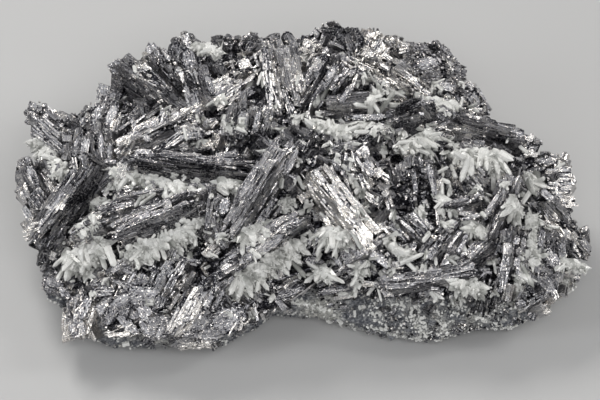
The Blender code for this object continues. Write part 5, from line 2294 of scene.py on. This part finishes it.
@dataclass(frozen=True)
class RockFinish(Finish):
    """Dark sugary rock with pale veins and specks."""

    name: str = "rock"
    dark: tuple = (0.06, 0.065, 0.08)
    middle: tuple = (0.31, 0.315, 0.325)
    vein: tuple = (0.70, 0.69, 0.64)
    rough: tuple = (0.65, 0.3)
    relief: tuple = (0.6, 0.0004)

    def inputs(self, tree: Tree) -> dict:
        """What goes into the shader.

        Args:
            tree: the material's tree.

        Returns:
            Values and sockets, by the names of the shader's own.
        """
        place = tree.place()
        sugar = {"Vector": place, "Along": 900.0, "Across": 1300.0, "Pit Scale": 900.0}
        grain = tree.node("ShaderNodeGroup", sugar, node_tree=grain_group())
        lines, pits, _ = grain.outputs
        patches = {"Vector": place, "Scale": 45.0, "Low": 0.5, "High": 0.64}
        mottle = tree.node("ShaderNodeGroup", patches, node_tree=mottle_group()).outputs[0]
        body = tree.math("ADD", tree.tone(), tree.spread(lines, 0, 1, (-0.5, 0.5)))
        colour = tree.ramp(body, (0.0, self.dark), (0.7, self.middle), (1.0, self.vein))
        veins = tree.math("MULTIPLY", mottle, lines)
        inputs = {0: veins, MIX_FIRST: colour, MIX_SECOND: (*self.vein, 1)}
        mixed = tree.node("ShaderNodeMix", inputs, data_type="RGBA").outputs[MIX_RESULT]
        return {
            "Base Color": mixed,
            "Normal": tree.bump(lines, self.relief),
            "Roughness": tree.spread(pits, 0, 1, self.rough),
        }


@dataclass(frozen=True)
class FloorFinish(Finish):
    """Plain pale floor."""

    name: str = "floor"
    colour: tuple = (0.50, 0.50, 0.50)
    rough: float = 0.7

    def inputs(self, tree: Tree) -> dict:
        """What goes into the shader, by the names of its sockets."""
        return {"Base Color": (*self.colour, 1), "Roughness": self.rough}


def placed(name: str, data: bpy.types.ID, place: Vector, facing_to: Vector) -> bpy.types.Object:
    """A light or a camera in its place.

    Args:
        name: its name.
        data: what it is.
        place: where it stands.
        facing_to: the direction that it faces.

    Returns:
        The new object.
    """
    thing = bpy.data.objects.new(name, data)
    thing.location = place
    thing.rotation_euler = facing_to.to_track_quat("-Z", "Y").to_euler()
    bpy.context.scene.collection.objects.link(thing)
    return thing


@dataclass(frozen=True)
class Softbox:
    """One rectangular light that faces the specimen."""

    name: str
    place: tuple
    size: tuple
    power: float
    tint: tuple

    def hang(self, aim: Vector) -> None:
        """Hangs it in its place.

        Args:
            aim: what it faces.
        """
        light = bpy.data.lights.new(self.name, "AREA")
        light.shape = "RECTANGLE"
        light.size, light.size_y = self.size
        light.energy = self.power
        light.color = self.tint
        placed(self.name, light, Vector(self.place), aim - Vector(self.place))


SOFTBOXES = (
    Softbox("key", (-0.55, 0.75, 1.15), (0.6, 0.4), 10.0, (1.0, 0.98, 0.95)),
    Softbox("front", (0.3, -1.5, 1.9), (1.6, 1.0), 22.0, (1.0, 1.0, 1.0)),
    Softbox("fill_left", (-1.2, -0.5, 0.9), (0.4, 0.7), 4.0, (0.97, 0.99, 1.0)),
    Softbox("fill_right", (1.1, 0.1, 1.0), (0.3, 0.6), 4.0, (1.0, 0.99, 0.97)),
)


@dataclass
class Studio:
    """The floor, the lights and the camera."""

    floor_size: float = 8.0
    ambient: float = 0.26
    camera_distance: float = 1.35
    lens: float = 150.0
    aim: tuple = (0.0, 0.0247, -0.0011)

    def build(self) -> None:
        """Sets the stage: the floor, the softboxes, a dim room and the camera."""
        self.floor()
        for softbox in SOFTBOXES:
            softbox.hang(Vector(self.aim))
        self.room()
        self.camera()

    def floor(self) -> None:
        """Lays a plain floor under the specimen."""
        bm = bmesh.new()
        bmesh.ops.create_grid(bm, x_segments=1, y_segments=1, size=self.floor_size / 2)
        mesh = bpy.data.meshes.new("floor")
        bm.to_mesh(mesh)
        bm.free()
        mesh.materials.append(FloorFinish().make())
        floor = bpy.data.objects.new("floor", mesh)
        bpy.context.scene.collection.objects.link(floor)
        floor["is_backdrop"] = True

    def room(self) -> None:
        """Lights the room dimly and sets how its light is shown."""
        world = bpy.data.worlds.new("room")
        world.use_nodes = True
        background = world.node_tree.nodes["Background"]
        colour = {"Color": (1, 1, 1, 1), "Strength": self.ambient}
        Tree(world.node_tree).feed(background, colour)
        bpy.context.scene.world = world
        bpy.context.scene.view_settings.view_transform = "Standard"

    def camera(self) -> None:
        """Sets the camera square to the plan."""
        data = bpy.data.cameras.new("camera")
        data.lens = self.lens
        place = Vector(self.aim) + Vector(Plan.out) * self.camera_distance
        bpy.context.scene.camera = placed("camera", data, place, -Vector(Plan.out))


def grow(growth: Growth | LathFill, material: Material) -> Growth | LathFill:
    """Builds some crystals and makes their pieces.

    Args:
        growth: the crystals.
        material: their finish.

    Returns:
        The same crystals.
    """
    growth.build()
    growth.dress(material)
    return growth


def grow_combs(seats: Skin, metal: Skin, quartz: Material) -> None:
    """Grows the combs of quartz and finishes their solids.

    Args:
        seats: the surface that crystals may stand on.
        metal: the surface that they stay clear of.
        quartz: their finish.
    """
    for i, comb in enumerate(COMBS + TUFTS):
        grow(QuartzComb(comb, seats, metal, COMB_SEED + i), quartz)
    for comb in COMBS:
        node = "quartz_" + comb.name
        if comb.name in WORN:
            tone = WORN[comb.name]
            Ground(comb.name + "_core", node, "quartz", tone, CORE_SEED).dress(quartz)
            continue
        mesh = frame["nodes"][node].data
        mesh.materials.clear()
        mesh.materials.append(quartz)


def main() -> None:
    """Builds and dresses every piece in order."""
    logging.basicConfig(level=logging.INFO, format="%(name)s %(message)s")
    galena, quartz, rock = GalenaFinish().make(), QuartzFinish().make(), RockFinish().make()
    form = Form()
    metal, bed = Skin("galena_twins"), Skin("matrix_bed")
    seats = Skin("galena_twins", *("quartz_" + comb.name for comb in COMBS))

    sizes = {"grain": 1.7, "sunk": 0.5, "depth": 1.3}
    # painted shade: the ground between the twins is near black at tone 0.04, for the dark crevices
    Ground("galena_ground", "galena_twins", "galena", 0.04, METAL_SEED, **sizes).dress(galena)
    sizes = {"grain": 1.9, "depth": 1.5}
    Ground("bed_rock", "matrix_bed", "rock", 0.3, BED_SEED, **sizes).dress(rock)

    groups = [
        grow(TwinGroup(name, blades, form, TWIN_SEED + i), galena)
        for i, (name, blades) in enumerate(BLADES.items())
    ]
    groups.append(grow(FlankGroup("flank_blades", FLANK_BLADES, form, FLANK_SEED), galena))
    nodules = grow(NoduleGroup(form), galena)
    twins = [twin for group in groups for twin in group.twins]
    fill = grow(LathFill(metal, twins), galena)
    names = ("galena_ground", nodules.title, *fill.pieces, *(group.title for group in groups))
    leaves = grow(LeafGroup(Surface(names)), galena)
    surface = Surface((*names, leaves.title))
    grow(GlintGroup(surface), galena)

    grow_combs(seats, metal, quartz)
    grow(LargePrisms(seats), quartz)
    grow(LooseQuartz(surface, twins), quartz)

    chips = RockChips(bed)
    chips.build()
    chips.dress(rock, quartz, galena)

    Studio().build()
    boxes = {"cad": BOX, "scene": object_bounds()}
    {name: [list(map(float, c)) for c in box] for name, box in boxes.items()}


if __name__ == "__main__":
    main()
